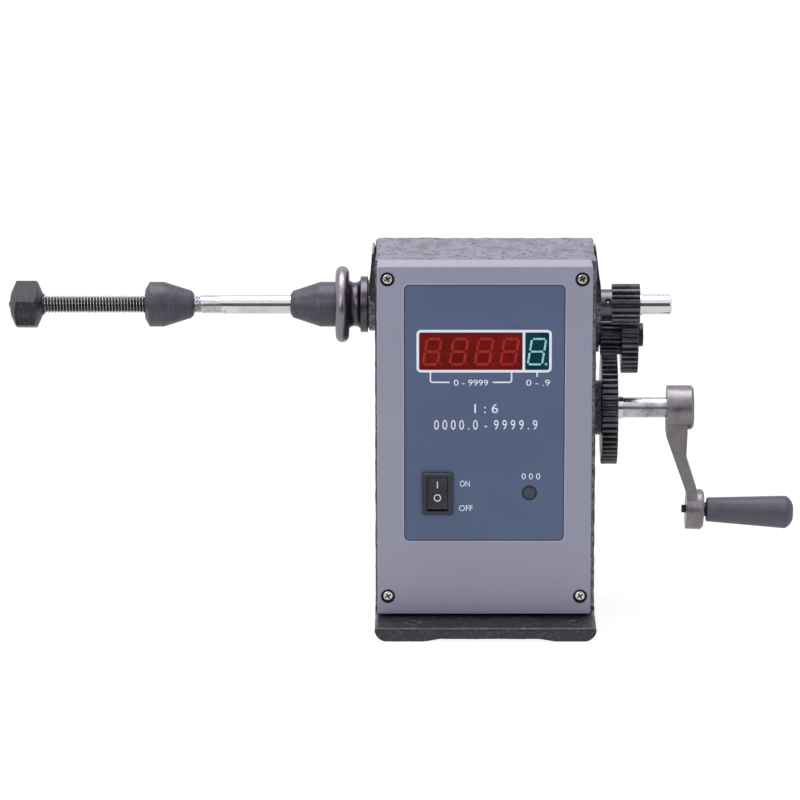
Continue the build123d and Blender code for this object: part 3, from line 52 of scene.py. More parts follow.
# ---------------------------------------------------------------------------
# Studio: a long lens from slightly above, a white surround and floor, a strong
# wide lamp overhead and a softer one in front, both a little cool. The gloss
# sees a dark patch in front, where the room behind the lens is.
# ---------------------------------------------------------------------------
CAMERA_PLACE = (-0.02733, -2.20064, 0.65406)
CAMERA_DOWN = math.radians(14.0)
LENS_MM = 207.1
SENSOR_MM = 36.0
SIDE_SHIFT = -0.03665
FAR_CLIP = 50.0
MACHINE_MIDDLE = Vector((0.0, 0.0, 0.1))
COOL = (0.965, 0.945, 1.0)
WHITE = (1.0, 1.0, 1.0, 1.0)
LAMP_ABOVE = ((-0.2, 0.1, 1.6), 1.2, 19.0)
LAMP_FRONT = ((-0.9, -1.9, 1.1), 1.0, 9.5)
SURROUND_ON_OBJECT = 0.47
ROOM_GLOW = 0.1
ROOM_EDGE = 0.87
ROOM_MIDDLE = 0.93
FLOOR_HALF = 9.0
FLOOR_GLOW = 0.8
FLOOR_SEEN = 1.12
FLOOR_MIRRORED = 0.85
FLOOR_PAPER = (0.88, 0.88, 0.88, 1.0)
TABLE_EDGE = -1.0
TABLE_FADE = -0.5

scene.view_settings.view_transform = "Standard"
camera_data = bpy.data.cameras.new("camera")
camera_data.lens = LENS_MM
camera_data.sensor_width = SENSOR_MM
camera_data.shift_x = SIDE_SHIFT
camera_data.clip_end = FAR_CLIP
camera = bpy.data.objects.new("camera", camera_data)
camera.location = CAMERA_PLACE
camera.rotation_euler = (math.pi / 2 - CAMERA_DOWN, 0.0, 0.0)
scene.collection.objects.link(camera)
scene.camera = camera


def lamp(name, place, size, power):
    """A square area lamp of a side in metres and a power in watts, turned to the machine."""
    data = bpy.data.lights.new(name, "AREA")
    data.size = size
    data.energy = power
    data.color = COOL
    made = bpy.data.objects.new(name, data)
    made.location = place
    made.rotation_euler = (MACHINE_MIDDLE - Vector(place)).to_track_quat("-Z", "Y").to_euler()
    scene.collection.objects.link(made)


lamp("lamp_above", *LAMP_ABOVE)
lamp("lamp_front", *LAMP_FRONT)


def add(tree, kind, **values):
    """A shader node of that kind, with its properties or input sockets set by name."""
    node = tree.nodes.new(kind)
    for key, value in values.items():
        if hasattr(node, key):
            setattr(node, key, value)
        else:
            node.inputs[key.replace("_", " ")].default_value = value
    return node


def math_node(tree, operation, first, second):
    """Output of a maths node on two sockets or numbers."""
    node = add(tree, "ShaderNodeMath", operation=operation)
    for index, value in enumerate((first, second)):
        if isinstance(value, (int, float)):
            node.inputs[index].default_value = value
        else:
            tree.links.new(value, node.inputs[index])
    return node.outputs[0]


def ramp(tree, value, start, end, low, high):
    """Output that goes smoothly from low to high while value goes from start to end."""
    node = add(tree, "ShaderNodeMapRange", interpolation_type="SMOOTHSTEP")
    limits = {"From Min": start, "From Max": end, "To Min": low, "To Max": high}
    for name, number in limits.items():
        node.inputs[name].default_value = number
    tree.links.new(value, node.inputs["Value"])
    return node.outputs["Result"]


def tones(tree, share, low, high):
    """Colour output between low and high."""
    mix = add(tree, "ShaderNodeMix", data_type="RGBA")
    for socket, value in ((mix.inputs[0], share), (mix.inputs[6], low), (mix.inputs[7], high)):
        if isinstance(value, tuple):
            socket.default_value = value
        else:
            tree.links.new(value, socket)
    return mix.outputs[2]


def seen_directly(tree):
    """1 for camera and transmission rays."""
    rays = add(tree, "ShaderNodeLightPath").outputs
    return math_node(tree, "MAXIMUM", rays["Is Camera Ray"], rays["Is Transmission Ray"])


def is_glossy(tree):
    """1 for rays that a gloss sends out."""
    return add(tree, "ShaderNodeLightPath").outputs["Is Glossy Ray"]


world = bpy.data.worlds.new("surround")
scene.world = world
world.use_nodes = True
tree = world.node_tree
tree.nodes.clear()
parts = add(tree, "ShaderNodeSeparateXYZ")
tree.links.new(add(tree, "ShaderNodeTexCoord").outputs["Generated"], parts.inputs[0])
forward = math_node(tree, "MULTIPLY", parts.outputs["Y"], -1.0)
room = ramp(tree, forward, ROOM_EDGE, ROOM_MIDDLE, 1.0, ROOM_GLOW)
mirrored = math_node(tree, "MULTIPLY", room, is_glossy(tree))
looking = math_node(tree, "MAXIMUM", is_glossy(tree), seen_directly(tree))
lighting = math_node(tree, "SUBTRACT", 1.0, looking)
lighting = math_node(tree, "MULTIPLY", lighting, SURROUND_ON_OBJECT)
on_object = math_node(tree, "ADD", mirrored, lighting)
sky = add(tree, "ShaderNodeBackground")
tree.links.new(tones(tree, seen_directly(tree), (*COOL, 1.0), WHITE), sky.inputs["Color"])
tree.links.new(math_node(tree, "ADD", on_object, seen_directly(tree)), sky.inputs["Strength"])
output = add(tree, "ShaderNodeOutputWorld")
tree.links.new(sky.outputs[0], output.inputs["Surface"])

floor_mesh = bpy.data.meshes.new("floor")
corners = np.array([(-1, -1, 0), (1, -1, 0), (1, 1, 0), (-1, 1, 0)]) * FLOOR_HALF
floor_mesh.from_pydata(corners.tolist(), [], [(0, 1, 2, 3)])
floor = bpy.data.objects.new("floor", floor_mesh)
scene.collection.objects.link(floor)
floor_paper = bpy.data.materials.new("floor_paper")
floor_paper.use_nodes = True
tree = floor_paper.node_tree
tree.nodes.clear()
parts = add(tree, "ShaderNodeSeparateXYZ")
tree.links.new(add(tree, "ShaderNodeTexCoord").outputs["Object"], parts.inputs[0])
mirrored = ramp(tree, parts.outputs["Y"], TABLE_EDGE, TABLE_FADE, ROOM_GLOW, FLOOR_MIRRORED)
mirrored = math_node(tree, "MULTIPLY", mirrored, is_glossy(tree))
glow = add(tree, "ShaderNodeEmission", Color=WHITE)
seen = math_node(tree, "MULTIPLY", seen_directly(tree), FLOOR_SEEN)
shown = math_node(tree, "ADD", mirrored, seen)
tree.links.new(shown, glow.inputs["Strength"])
paper = add(tree, "ShaderNodeBsdfDiffuse", Color=FLOOR_PAPER)
blend = add(tree, "ShaderNodeMixShader")
glowing = math_node(tree, "MULTIPLY", seen_directly(tree), FLOOR_GLOW)
share = math_node(tree, "MAXIMUM", glowing, is_glossy(tree))
tree.links.new(share, blend.inputs[0])
tree.links.new(paper.outputs[0], blend.inputs[1])
tree.links.new(glow.outputs[0], blend.inputs[2])
output = add(tree, "ShaderNodeOutputMaterial")
tree.links.new(blend.outputs[0], output.inputs["Surface"])
floor_mesh.materials.append(floor_paper)

# ---------------------------------------------------------------------------
# Casting: rough gray iron under thick black enamel, sanded only where the
# bosses, the cover and the bench meet it, with dust ground into its top and a
# painted sheen over that top, and its foot's upper rim painted bright as wear
# and as a painted highlight. The copy is cut into a fine grid and lumped
# inwards, never on machined faces.
# ---------------------------------------------------------------------------
MM = 0.001
WELD = 0.002 * MM
FLAT_ANGLE = 0.004
CUT_SNAP = 0.01 * MM
NEAR = 0.05 * MM
GRID = 2.5 * MM
LUMP = 0.55 * MM
LUMPS_PER_M, LUMP_ROUGHNESS, LUMP_FINENESS, LUMP_OCTAVES = 170.0, 0.9, 2.1, 4
PIMPLES_PER_M = 480.0
DEPTH_LEVEL, LUMP_SHARE, PIMPLE_SHARE, DEPTH_LIMIT = 0.55, 0.5, 0.35, 1.3
FOOT_TOP = 7.0 * MM
FOOT_EDGE = 1.6 * MM
FOOT_HALF_X, FOOT_HALF_Y = 54.0 * MM, 62.0 * MM
FOOT_CUTS = (0.45, 1.0)
FOOT_CALM = 0.45
LEDGE_Y, LEDGE_TOP = 33.0 * MM, 8.4 * MM
SHAFT_LINES = ((0.0, 153.8, 14.0, 14.0), (10.5, 99.03, 8.5, 14.5), (18.5, 134.13, 0.0, 9.5))
BOLT_PLACES = [(x * MM, y * MM) for x in (-35.6, 43.4) for y in (-53.0, 53.0)]
FRONT_RIM_Y, REAR_SKIN_Y = -27.0 * MM, 25.0 * MM
COVER_GAP, COVER_FADE = 0.3 * MM, 0.6 * MM
SOLE_GAP = 0.2 * MM
BARE_R = 4.4 * MM
FADE = 0.8 * MM
# Heights between which the casting's top is painted lighter, as dust and as painted sheen.
DUST_SHEEN_FROM, DUST_SHEEN_FULL = 0.15, 0.178


def place(name, mesh, made, body, slot, smooth_below=0.6):
    """Links a finished mesh as a piece that rides on a body, with the given materials. The slot is
    not used.
    """
    for one in made if isinstance(made, (list, tuple)) else [made]:
        mesh.materials.append(one)
    mesh.shade_smooth()
    mesh.set_sharp_from_angle(angle=smooth_below)
    piece = bpy.data.objects.new(name, mesh)
    scene.collection.objects.link(piece)
    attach(piece, body)
    return piece


def welded(node):
    """Copy of a CAD node's shape with its seams closed and its flat faces whole."""
    shape = bmesh.new()
    shape.from_mesh(nodes[node].data)
    bmesh.ops.remove_doubles(shape, verts=shape.verts, dist=WELD)
    bmesh.ops.dissolve_limit(shape, angle_limit=FLAT_ANGLE, verts=shape.verts, edges=shape.edges)
    return shape


def cut_across(shape, axis, at):
    """Cuts every face of a shape along the plane square to an axis at a distance in metres."""
    point, normal = [0.0, 0.0, 0.0], [0.0, 0.0, 0.0]
    point[axis], normal[axis] = at, 1.0
    everything = shape.verts[:] + shape.edges[:] + shape.faces[:]
    bmesh.ops.bisect_plane(shape, geom=everything, dist=CUT_SNAP, plane_co=point, plane_no=normal)


def mesh_of(shape, name):
    """Mesh of an edited shape, with only the shape's own normals."""
    mesh = bpy.data.meshes.new(name)
    shape.to_mesh(mesh)
    shape.free()
    if "custom_normal" in mesh.attributes:
        mesh.attributes.remove(mesh.attributes["custom_normal"])
    return mesh


def machined(points, low):
    """0 where the casting is machined, rising to 1 over a few tenths of a millimetre beyond."""
    x, y, z = points.T
    free = np.clip((y - FRONT_RIM_Y - COVER_GAP) / COVER_FADE, 0.0, 1.0)
    free[(z < LEDGE_TOP) & (y < FRONT_RIM_Y)] = 1.0
    free *= np.clip((z - low - SOLE_GAP) / FADE, 0.0, 1.0)
    for line_y, line_z, left_radius, right_radius in SHAFT_LINES:
        radius = np.where(x < 0, left_radius, right_radius) * MM
        away = np.hypot(y - line_y * MM, z - line_z * MM) - radius
        free *= np.clip(np.where(y > REAR_SKIN_Y, FADE, away) / FADE, 0.0, 1.0)
    for bolt_x, bolt_y in BOLT_PLACES:
        away = np.hypot(x - bolt_x, y - bolt_y) - BARE_R
        free *= np.clip(away / FADE, 0.0, 1.0)
    return free


def round_foot(points):
    """Draws the foot's upper rim onto a quarter circle, towards the circle's middle."""
    for axis, half in ((1, FOOT_HALF_Y), (0, FOOT_HALF_X)):
        inward = FOOT_EDGE - half + np.abs(points[:, axis])
        upward = FOOT_EDGE - FOOT_TOP + points[:, 2]
        on_ledge = (inward > 0) & (upward > 0) & (points[:, 2] < FOOT_TOP + NEAR)
        on_ledge &= np.abs(points[:, 1]) > LEDGE_Y
        reach = np.maximum(np.hypot(inward, upward), FOOT_EDGE)
        shrink = np.where(on_ledge, FOOT_EDGE / reach, 1.0)
        points[:, axis] += np.sign(points[:, axis]) * inward * (shrink - 1.0)
        points[:, 2] += upward * (shrink - 1.0)
    return points


def rough_casting():
    """The casting with its foot's upper rim rounded and its skin pushed in, by the lump depth
    times a level plus shares of broad and fine noise, and by nothing where it is machined."""
    low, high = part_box("frame_casting")
    shape = welded("frame_casting")
    rims = ((-FOOT_HALF_X, FOOT_HALF_X), (-FOOT_HALF_Y, FOOT_HALF_Y), (FOOT_TOP,))
    for axis in range(3):
        extra = [
            rim - np.sign(rim) * share * FOOT_EDGE for rim in rims[axis] for share in FOOT_CUTS
        ]
        for cut in [*np.arange(low[axis] + GRID, high[axis], GRID), *extra]:
            cut_across(shape, axis, cut)
    bmesh.ops.triangulate(shape, faces=[face for face in shape.faces if len(face.verts) > 4])
    points = np.array([vertex.co for vertex in shape.verts])
    # The foot's upper rim is marked bare, as wear and as a painted highlight along it.
    from_rim = np.hypot(FOOT_HALF_Y - np.abs(points[:, 1]), FOOT_TOP - points[:, 2])
    rubbed = np.clip(1.0 - from_rim / FOOT_EDGE, 0.0, 1.0)
    points = round_foot(points)
    for vertex, point in zip(shape.verts, points):
        vertex.co = point
    shape.normal_update()
    normals = np.array([vertex.normal for vertex in shape.verts])
    lumps = np.array([
        noise.fractal(Vector(point) * LUMPS_PER_M, LUMP_ROUGHNESS, LUMP_FINENESS, LUMP_OCTAVES)
        for point in points
    ])
    pimples = np.array([noise.noise(Vector(point) * PIMPLES_PER_M) for point in points])
    free = machined(points, low[2])
    wave = DEPTH_LEVEL + LUMP_SHARE * lumps + PIMPLE_SHARE * pimples
    depth = LUMP * np.clip(wave, 0.0, DEPTH_LIMIT) * free
    depth[points[:, 2] < FOOT_TOP] *= FOOT_CALM
    moved = points - normals * depth[:, None]
    for vertex, point in zip(shape.verts, moved):
        vertex.co = point
    return mesh_of(shape, "casting"), np.maximum(1.0 - free, rubbed)


def srgb(red, green, blue):
    """Linear colour of an 8-bit display colour."""
    values = np.array([red, green, blue]) / 255.0
    linear = np.where(values <= 0.04045, values / 12.92, ((values + 0.055) / 1.055) ** 2.4)
    return (*linear.tolist(), 1.0)


def cloud(tree, scale, detail=4.0, stretch=(1.0, 1.0, 1.0)):
    """Output of a noise with that many features per metre, squeezed along each axis."""
    scaled = add(tree, "ShaderNodeMapping")
    scaled.inputs["Scale"].default_value = stretch
    tree.links.new(add(tree, "ShaderNodeTexCoord").outputs["Object"], scaled.inputs["Vector"])
    made = add(tree, "ShaderNodeTexNoise", Scale=scale, Detail=detail, Roughness=0.6)
    tree.links.new(scaled.outputs["Vector"], made.inputs["Vector"])
    return made.outputs["Fac"]


def bumped(tree, height, strength, depth, under=None):
    """Normal output of a relief of that depth in metres."""
    push = add(tree, "ShaderNodeBump", Strength=strength, Distance=depth)
    tree.links.new(height, push.inputs["Height"])
    if under is not None:
        tree.links.new(under, push.inputs["Normal"])
    return push.outputs["Normal"]


def surface(name, metal=0.0):
    """A new material with its node tree and main shader."""
    made = bpy.data.materials.new(name)
    made.use_nodes = True
    shader = made.node_tree.nodes["Principled BSDF"]
    shader.inputs["Metallic"].default_value = metal
    return made, made.node_tree, shader


def enamel():
    """Thick black enamel with pits, dust and a painted sheen on its top, worn to bare iron
    where the casting is machined and along the foot's rim, partly a painted highlight.
    """
    made, tree, shader = surface("black_enamel")
    shader.inputs["IOR"].default_value = 1.6
    place_of = add(tree, "ShaderNodeTexCoord")
    height = add(tree, "ShaderNodeSeparateXYZ")
    tree.links.new(place_of.outputs["Object"], height.inputs[0])
    facing = add(tree, "ShaderNodeSeparateXYZ")
    tree.links.new(place_of.outputs["Normal"], facing.inputs[0])
    fine = cloud(tree, 520.0, 5.0)
    broad = cloud(tree, 120.0, 4.0)
    speckled = ramp(tree, fine, 0.52, 0.66, 0.0, 1.0)
    flecks = tones(tree, speckled, srgb(26, 25, 30), srgb(66, 62, 74))
    # Dust and painted sheen: high, up-facing faces are painted lighter, as if lit by the lamp
    # above.
    sheen_on_top = math_node(
        tree, "MULTIPLY", ramp(tree, height.outputs["Z"], DUST_SHEEN_FROM, DUST_SHEEN_FULL, 0.0, 1.0),
        ramp(tree, facing.outputs["Z"], 0.5, 0.9, 0.0, 1.0),
    )
    pitted = ramp(tree, cloud(tree, 400.0, 6.0), 0.37, 0.45, 0.1, 1.0)
    dust_and_sheen = math_node(tree, "MULTIPLY", sheen_on_top, pitted)
    dust_sheen_drifts = ramp(tree, broad, 0.36, 0.6, 0.0, 1.0)
    dust_sheen_tone = tones(tree, dust_sheen_drifts, srgb(92, 89, 103), srgb(138, 134, 151))
    with_dust_sheen = tones(tree, dust_and_sheen, flecks, dust_sheen_tone)
    # Bare iron where machined; along the foot's rim this is also a painted highlight.
    rubbed = add(tree, "ShaderNodeAttribute", attribute_name="bare_and_highlight")
    ragged = math_node(tree, "ADD", rubbed.outputs["Fac"], math_node(tree, "MULTIPLY", fine, 0.5))
    bare_and_highlight = ramp(tree, ragged, 1.15, 1.35, 0.0, 1.0)
    tree.links.new(tones(tree, bare_and_highlight, with_dust_sheen, srgb(150, 145, 154)), shader.inputs["Base Color"])
    tree.links.new(bare_and_highlight, shader.inputs["Metallic"])
    tree.links.new(ramp(tree, broad, 0.35, 0.65, 0.3, 0.5), shader.inputs["Roughness"])
    calm = ramp(tree, height.outputs["Z"], FOOT_TOP, 2 * FOOT_TOP, FOOT_CALM, 1.0)
    lumpy = math_node(tree, "MULTIPLY", cloud(tree, 330.0, 4.0), calm)
    coarse = bumped(tree, lumpy, 1.0, 0.6 * MM)
    grainy = bumped(tree, math_node(tree, "MULTIPLY", fine, calm), 0.6, 0.3 * MM, coarse)
    tree.links.new(grainy, shader.inputs["Normal"])
    return made


casting_mesh, bare_and_highlight_share = rough_casting()
# The bare share, partly a painted highlight along the foot's rim, rides on the points.
bare_and_highlight_layer = casting_mesh.attributes.new("bare_and_highlight", "FLOAT", "POINT")
bare_and_highlight_layer.data.foreach_set("value", bare_and_highlight_share.astype(np.float32))
casting = place("casting", casting_mesh, enamel(), "frame", "black_casting", 1.0)
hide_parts("frame_casting")

# ---------------------------------------------------------------------------
# Front cover: satin gray moulding with eased edges, screwed to the casting's
# rim. A fine bead is moulded round the recess that its overlay is stuck into,
# painted lighter than the cover as a highlight along the recess edge.
# ---------------------------------------------------------------------------
COVER_FACE = 42.0 * MM
OVERLAY = (-39.6, 45.1, 38.2, 172.9)
OVERLAY_CORNER = 2.5
BEAD_W, BEAD_GAP = 0.55, 0.05
BEAD_T = 0.16 * MM
BEAD_PROUD = 0.08 * MM
PANEL = ((0.0, 0.0, 0.0), (1.0, 0.0, 0.0), (0.0, 0.0, 1.0))
PRINT_T = 0.03 * MM
GRAIN_T = 0.1 * MM
MITRE_LIMIT = 0.4
ACROSS_X = 0.999
EASE_ANGLE = 0.5


def plain(name, low, high, grain, rough, metal=0.0, relief=0.0, relief_grain=900.0):
    """A material whose colour and roughness wander together, with a fine relief over it."""
    made, tree, shader = surface(name, metal)
    patches = cloud(tree, grain)
    mottled = tones(tree, ramp(tree, patches, 0.3, 0.7, 0.0, 1.0), low, high)
    tree.links.new(mottled, shader.inputs["Base Color"])
    tree.links.new(ramp(tree, patches, 0.3, 0.7, rough[0], rough[1]), shader.inputs["Roughness"])
    if relief:
        fine = cloud(tree, relief_grain, 3.0)
        tree.links.new(bumped(tree, fine, relief, GRAIN_T), shader.inputs["Normal"])
    return made


def body_of(node):
    """Name of the CAD body a node belongs to."""
    bodies = frame["record"]["behaviour"]["bodies"]
    return next(body for body, members in bodies.items() if node in members)


def slot_of(node):
    """Name of the record's material slot for a node."""
    return next(one["material_slot"] for one in frame["record"]["subparts"] if one["node"] == node)


def quartered(shape, middle):
    """Makes each flat face across X four plain quarters round a middle (y, z) in millimetres,
    because a bevel tears a face that has a hole or stray edges."""
    middle_y, middle_z = middle[0] * MM, middle[1] * MM
    cut_across(shape, 1, middle_y)
    cut_across(shape, 2, middle_z)
    quarters = {}
    for face in shape.faces:
        if abs(face.normal.x) > ACROSS_X:
            x, y, z = face.calc_center_median()
            quarters.setdefault((round(x / NEAR), y > middle_y, z > middle_z), []).append(face)
    for quarter in quarters.values():
        bmesh.ops.dissolve_faces(shape, faces=quarter)
    return shape


def eased(node, made, width, steps=2, corner=EASE_ANGLE, middle=None):
    """Stands in for a CAD node with its sharp edges rounded by a small bevel."""
    shape = quartered(welded(node), middle) if middle else welded(node)
    piece = place(node + "_eased", mesh_of(shape, node), made, body_of(node), slot_of(node))
    rounding = piece.modifiers.new("edges", "BEVEL")
    rounding.width = width * MM
    rounding.segments = steps
    rounding.limit_method = "ANGLE"
    rounding.angle_limit = corner
    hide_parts(node)
    return piece


def stroke(path, width, closed):
    """Points half a width to the left and right of a path, mitred at its corners."""
    points = np.array(path, float)
    ahead = np.roll(points, -1, 0) - points
    behind = points - np.roll(points, 1, 0)
    if not closed:
        ahead[-1] = behind[-1]
        behind[0] = ahead[0]
    ahead /= np.linalg.norm(ahead, axis=1)[:, None]
    behind /= np.linalg.norm(behind, axis=1)[:, None]
    across = np.stack([-(ahead + behind)[:, 1], (ahead + behind)[:, 0]], 1)
    across /= np.linalg.norm(across, axis=1)[:, None]
    leaning = (across * np.stack([-ahead[:, 1], ahead[:, 0]], 1)).sum(1)
    half = width / 2 / np.maximum(MITRE_LIMIT, leaning)
    return points + across * half[:, None], points - across * half[:, None]


def strokes(
    name, paths, width, lift, made, body="frame", slot="blue_overlay", plane=PANEL, thick=PRINT_T
):
    """Flat bars along (right, up) paths in millimetres, lifted in metres from a plane: the
    path's two sides at two levels, joined above, below, along each side and over open ends."""
    start, right, up = (np.array(vector) for vector in plane)
    out = np.cross(right, up)
    points, faces, base = [], [], 0
    for path, closed in paths:
        sides = np.stack(stroke(path, width, closed)) * MM
        flat = start + right * sides[..., :1] + up * sides[..., 1:]
        points += [(flat + out * level).reshape(-1, 3) for level in (lift, lift + thick)]
        count = sides.shape[1]
        low_l, low_r, top_l, top_r = base + count * np.arange(4)
        i = np.arange(count if closed else count - 1)
        j = (i + 1) % count
        rings = (
            (top_l + i, top_r + i, top_r + j, top_l + j),
            (low_l + i, low_l + j, low_r + j, low_r + i),
            (low_l + i, top_l + i, top_l + j, low_l + j),
            (low_r + i, low_r + j, top_r + j, top_r + i),
        )
        faces += np.array(rings).transpose(2, 0, 1).reshape(-1, 4).tolist()
        if not closed:
            faces.append([low_l, low_r, top_r, top_l])
            faces.append([one + count - 1 for one in (low_l, top_l, top_r, low_r)])
        base += 4 * count
    mesh = bpy.data.meshes.new(name)
    mesh.from_pydata(np.concatenate(points).tolist(), [], faces)
    shape = bmesh.new()
    shape.from_mesh(mesh)
    bmesh.ops.recalc_face_normals(shape, faces=shape.faces)
    shape.to_mesh(mesh)
    shape.free()
    return place(name, mesh, made, body, slot, 0.3)


def arc(middle_x, middle_z, radius, start, end, steps=6):
    """Points of an arc between two angles in degrees."""
    angles = np.radians(np.linspace(start, end, steps))
    return [(middle_x + radius * math.cos(a), middle_z + radius * math.sin(a)) for a in angles]


def rounded(x0, z0, x1, z1, radius):
    """Closed path of a rounded rectangle."""
    return (
        arc(x1 - radius, z1 - radius, radius, 0, 90)
        + arc(x0 + radius, z1 - radius, radius, 90, 180)
        + arc(x0 + radius, z0 + radius, radius, 180, 270)
        + arc(x1 - radius, z0 + radius, radius, 270, 360)
    )


def inset(box, gap):
    """A box drawn in by a gap on every side."""
    return (box[0] + gap, box[1] + gap, box[2] - gap, box[3] - gap)


cover_plastic = plain(
    "cover_plastic", srgb(150, 151, 169), srgb(155, 156, 174), 9.0, (0.28, 0.36),
    relief=0.12, relief_grain=2600.0,
)
eased("front_cover", cover_plastic, 0.6, 3)
# The bead is painted lighter than the cover's plastic, as a highlight along the recess.
bead_painted_highlight = plain("bead_painted_highlight", srgb(168, 170, 189), srgb(176, 178, 197), 60.0, (0.35, 0.45))
bead_path = rounded(*inset(OVERLAY, -BEAD_W / 2 - BEAD_GAP), OVERLAY_CORNER + BEAD_W / 2)
strokes(
    "cover_bead", [(bead_path, True)], BEAD_W, COVER_FACE + BEAD_PROUD - BEAD_T, bead_painted_highlight,
    slot="gray_cover", thick=BEAD_T,
)

# ---------------------------------------------------------------------------
# Overlay: slate blue printed film, stuck into the recess, with a line of
# painted shade along its rim and its borders and words printed in white.
# ---------------------------------------------------------------------------
OVERLAY_FACE = 41.8 * MM
RIM_W = 0.6
LETTER_T = 0.01
LINE, THIN_LINE = 1.25, 0.7
FRAME_CORNER, BRACKET_CORNER = 1.6, 1.0
FRAME_X0, FRAME_X1, FRAME_Z0, FRAME_Z1 = -32.9, 31.1, 130.1, 150.0
DIVIDER_X = 18.28
BRACKET_Z = 124.6
BRACKET_LEFT, BRACKET_RIGHT = -26.8, 12.4
BRACKET_IN = 9.2
TICK_X = 24.7
TICK_Z = 127.3


def dress(names, made):
    """Gives CAD nodes a material in every slot."""
    for name in names:
        mesh = nodes[name].data
        mesh.materials.clear()
        mesh.materials.append(made)


def label(name, words, middle_x, middle_z, height, width):
    """Printed words on the overlay, fitted to a height and a width in millimetres."""
    curve = bpy.data.curves.new(name, "FONT")
    curve.body = words
    curve.extrude = LETTER_T
    source = bpy.data.objects.new(name, curve)
    scene.collection.objects.link(source)
    mesh = bpy.data.meshes.new_from_object(source)
    bpy.data.objects.remove(source)
    points = np.empty(len(mesh.vertices) * 3)
    mesh.vertices.foreach_get("co", points)
    points = points.reshape(-1, 3)
    low, high = points.min(0), points.max(0)
    size = np.array([width * MM, height * MM, 2 * PRINT_T])
    across, upward, outward = ((points - (low + high) / 2) / (high - low) * size).T
    upright = [across + middle_x * MM, -OVERLAY_FACE - outward, upward + middle_z * MM]
    mesh.vertices.foreach_set("co", np.stack(upright, 1).ravel())
    mesh.materials.clear()
    return place(name, mesh, white_ink, "frame", "blue_overlay", 0.3)


overlay_film = plain(
    "overlay_film", srgb(79, 96, 126), srgb(84, 101, 132), 14.0, (0.38, 0.46),
    relief=0.1, relief_grain=3000.0,
)
dress(["panel_overlay"], overlay_film)
# A dark line painted along the overlay's rim as the shade of the recess edge.
rim_painted_shade = plain("rim_painted_shade", srgb(52, 60, 82), srgb(60, 70, 94), 60.0, (0.4, 0.5))
rim_path = rounded(*inset(OVERLAY, RIM_W / 2), OVERLAY_CORNER - RIM_W / 2)
strokes("overlay_rim", [(rim_path, True)], RIM_W, OVERLAY_FACE, rim_painted_shade)

white_ink = plain("white_ink", srgb(236, 240, 250), srgb(242, 245, 252), 200.0, (0.4, 0.5))
border = [(rounded(FRAME_X0, FRAME_Z0, FRAME_X1, FRAME_Z1, FRAME_CORNER), True)]
border.append(([(DIVIDER_X, FRAME_Z0 + LINE / 2), (DIVIDER_X, FRAME_Z1 - LINE / 2)], False))
strokes("display_border", border, LINE, OVERLAY_FACE, white_ink)
bend_z = BRACKET_Z + BRACKET_CORNER
left_bend = arc(BRACKET_LEFT + BRACKET_CORNER, bend_z, BRACKET_CORNER, 180, 270)
right_bend = arc(BRACKET_RIGHT - BRACKET_CORNER, bend_z, BRACKET_CORNER, 360, 270)
below = FRAME_Z0 - LINE / 2
brackets = [
    ([(BRACKET_LEFT, below)] + left_bend + [(BRACKET_LEFT + BRACKET_IN, BRACKET_Z)], False),
    ([(BRACKET_RIGHT, below)] + right_bend + [(BRACKET_RIGHT - BRACKET_IN, BRACKET_Z)], False),
    ([(TICK_X, below), (TICK_X, TICK_Z)], False),
]
strokes("display_brackets", brackets, THIN_LINE, OVERLAY_FACE, white_ink)
for name, words, middle_x, middle_z, height, width in (
    ("count_range", "0 - 9999", -7.2, 124.4, 3.0, 16.5),
    ("decimal_range", "0 - .9", 25.2, 124.4, 3.0, 11.5),
    ("ratio_title", "1 : 6", 0.2, 111.6, 4.6, 11.5),
    ("range_title", "0 0 0 0 . 0  -  9 9 9 9 . 9", 0.0, 103.4, 4.8, 50.0),
    ("switch_on", "ON", -10.1, 73.9, 2.9, 4.8),
    ("switch_off", "OFF", -9.6, 61.6, 2.9, 6.6),
    ("reset_zero", "0 0 0", 22.0, 77.6, 3.0, 9.0),
):
    label(name, words, middle_x, middle_z, height, width)

# ---------------------------------------------------------------------------
# Display windows: tinted red and green modules, with the segments of each
# digit and its point showing faintly in the red and brightly in the green,
# where they are painted with a faint glow.
# ---------------------------------------------------------------------------
DIGIT_H = 12.6
DIGIT_W = 6.9
DIGIT_SLANT = math.tan(math.radians(9.0))
DIGIT_Z = 139.8
SEGMENT_GAP = 0.55
RED_BAR_W = 1.3
GREEN_BAR_W = 0.95
RED_POINT, GREEN_POINT = 0.8, 1.1
POINT_RIGHT, POINT_UP = 0.9, 0.1
COUNT_DIGITS = (-25.9, -13.1, -0.9, 11.4)
DECIMAL_DIGIT = 24.6
DISPLAY_FACE = 41.7 * MM


def digit_paths(middle_x):
    """The seven bars of a slanted figure eight."""
    half_w, half_h = DIGIT_W / 2, DIGIT_H / 2
    corners = [(x, z) for z in (half_h, 0.0, -half_h) for x in (-half_w, half_w)]
    paths = []
    for a, b in ((0, 1), (2, 3), (4, 5), (0, 2), (1, 3), (2, 4), (3, 5)):
        ends = np.array([corners[a], corners[b]])
        along = (ends[1] - ends[0]) / np.linalg.norm(ends[1] - ends[0])
        ends = np.array([ends[0] + along * SEGMENT_GAP, ends[1] - along * SEGMENT_GAP])
        paths.append(([(middle_x + x + z * DIGIT_SLANT, DIGIT_Z + z) for x, z in ends], False))
    return paths


def point_path(middle_x, size):
    """The decimal point at a digit's lower right, as one short bar."""
    x, z = middle_x + DIGIT_W / 2 + POINT_RIGHT, DIGIT_Z - DIGIT_H / 2 + POINT_UP
    return ([(x, z - size / 2), (x, z + size / 2)], False)


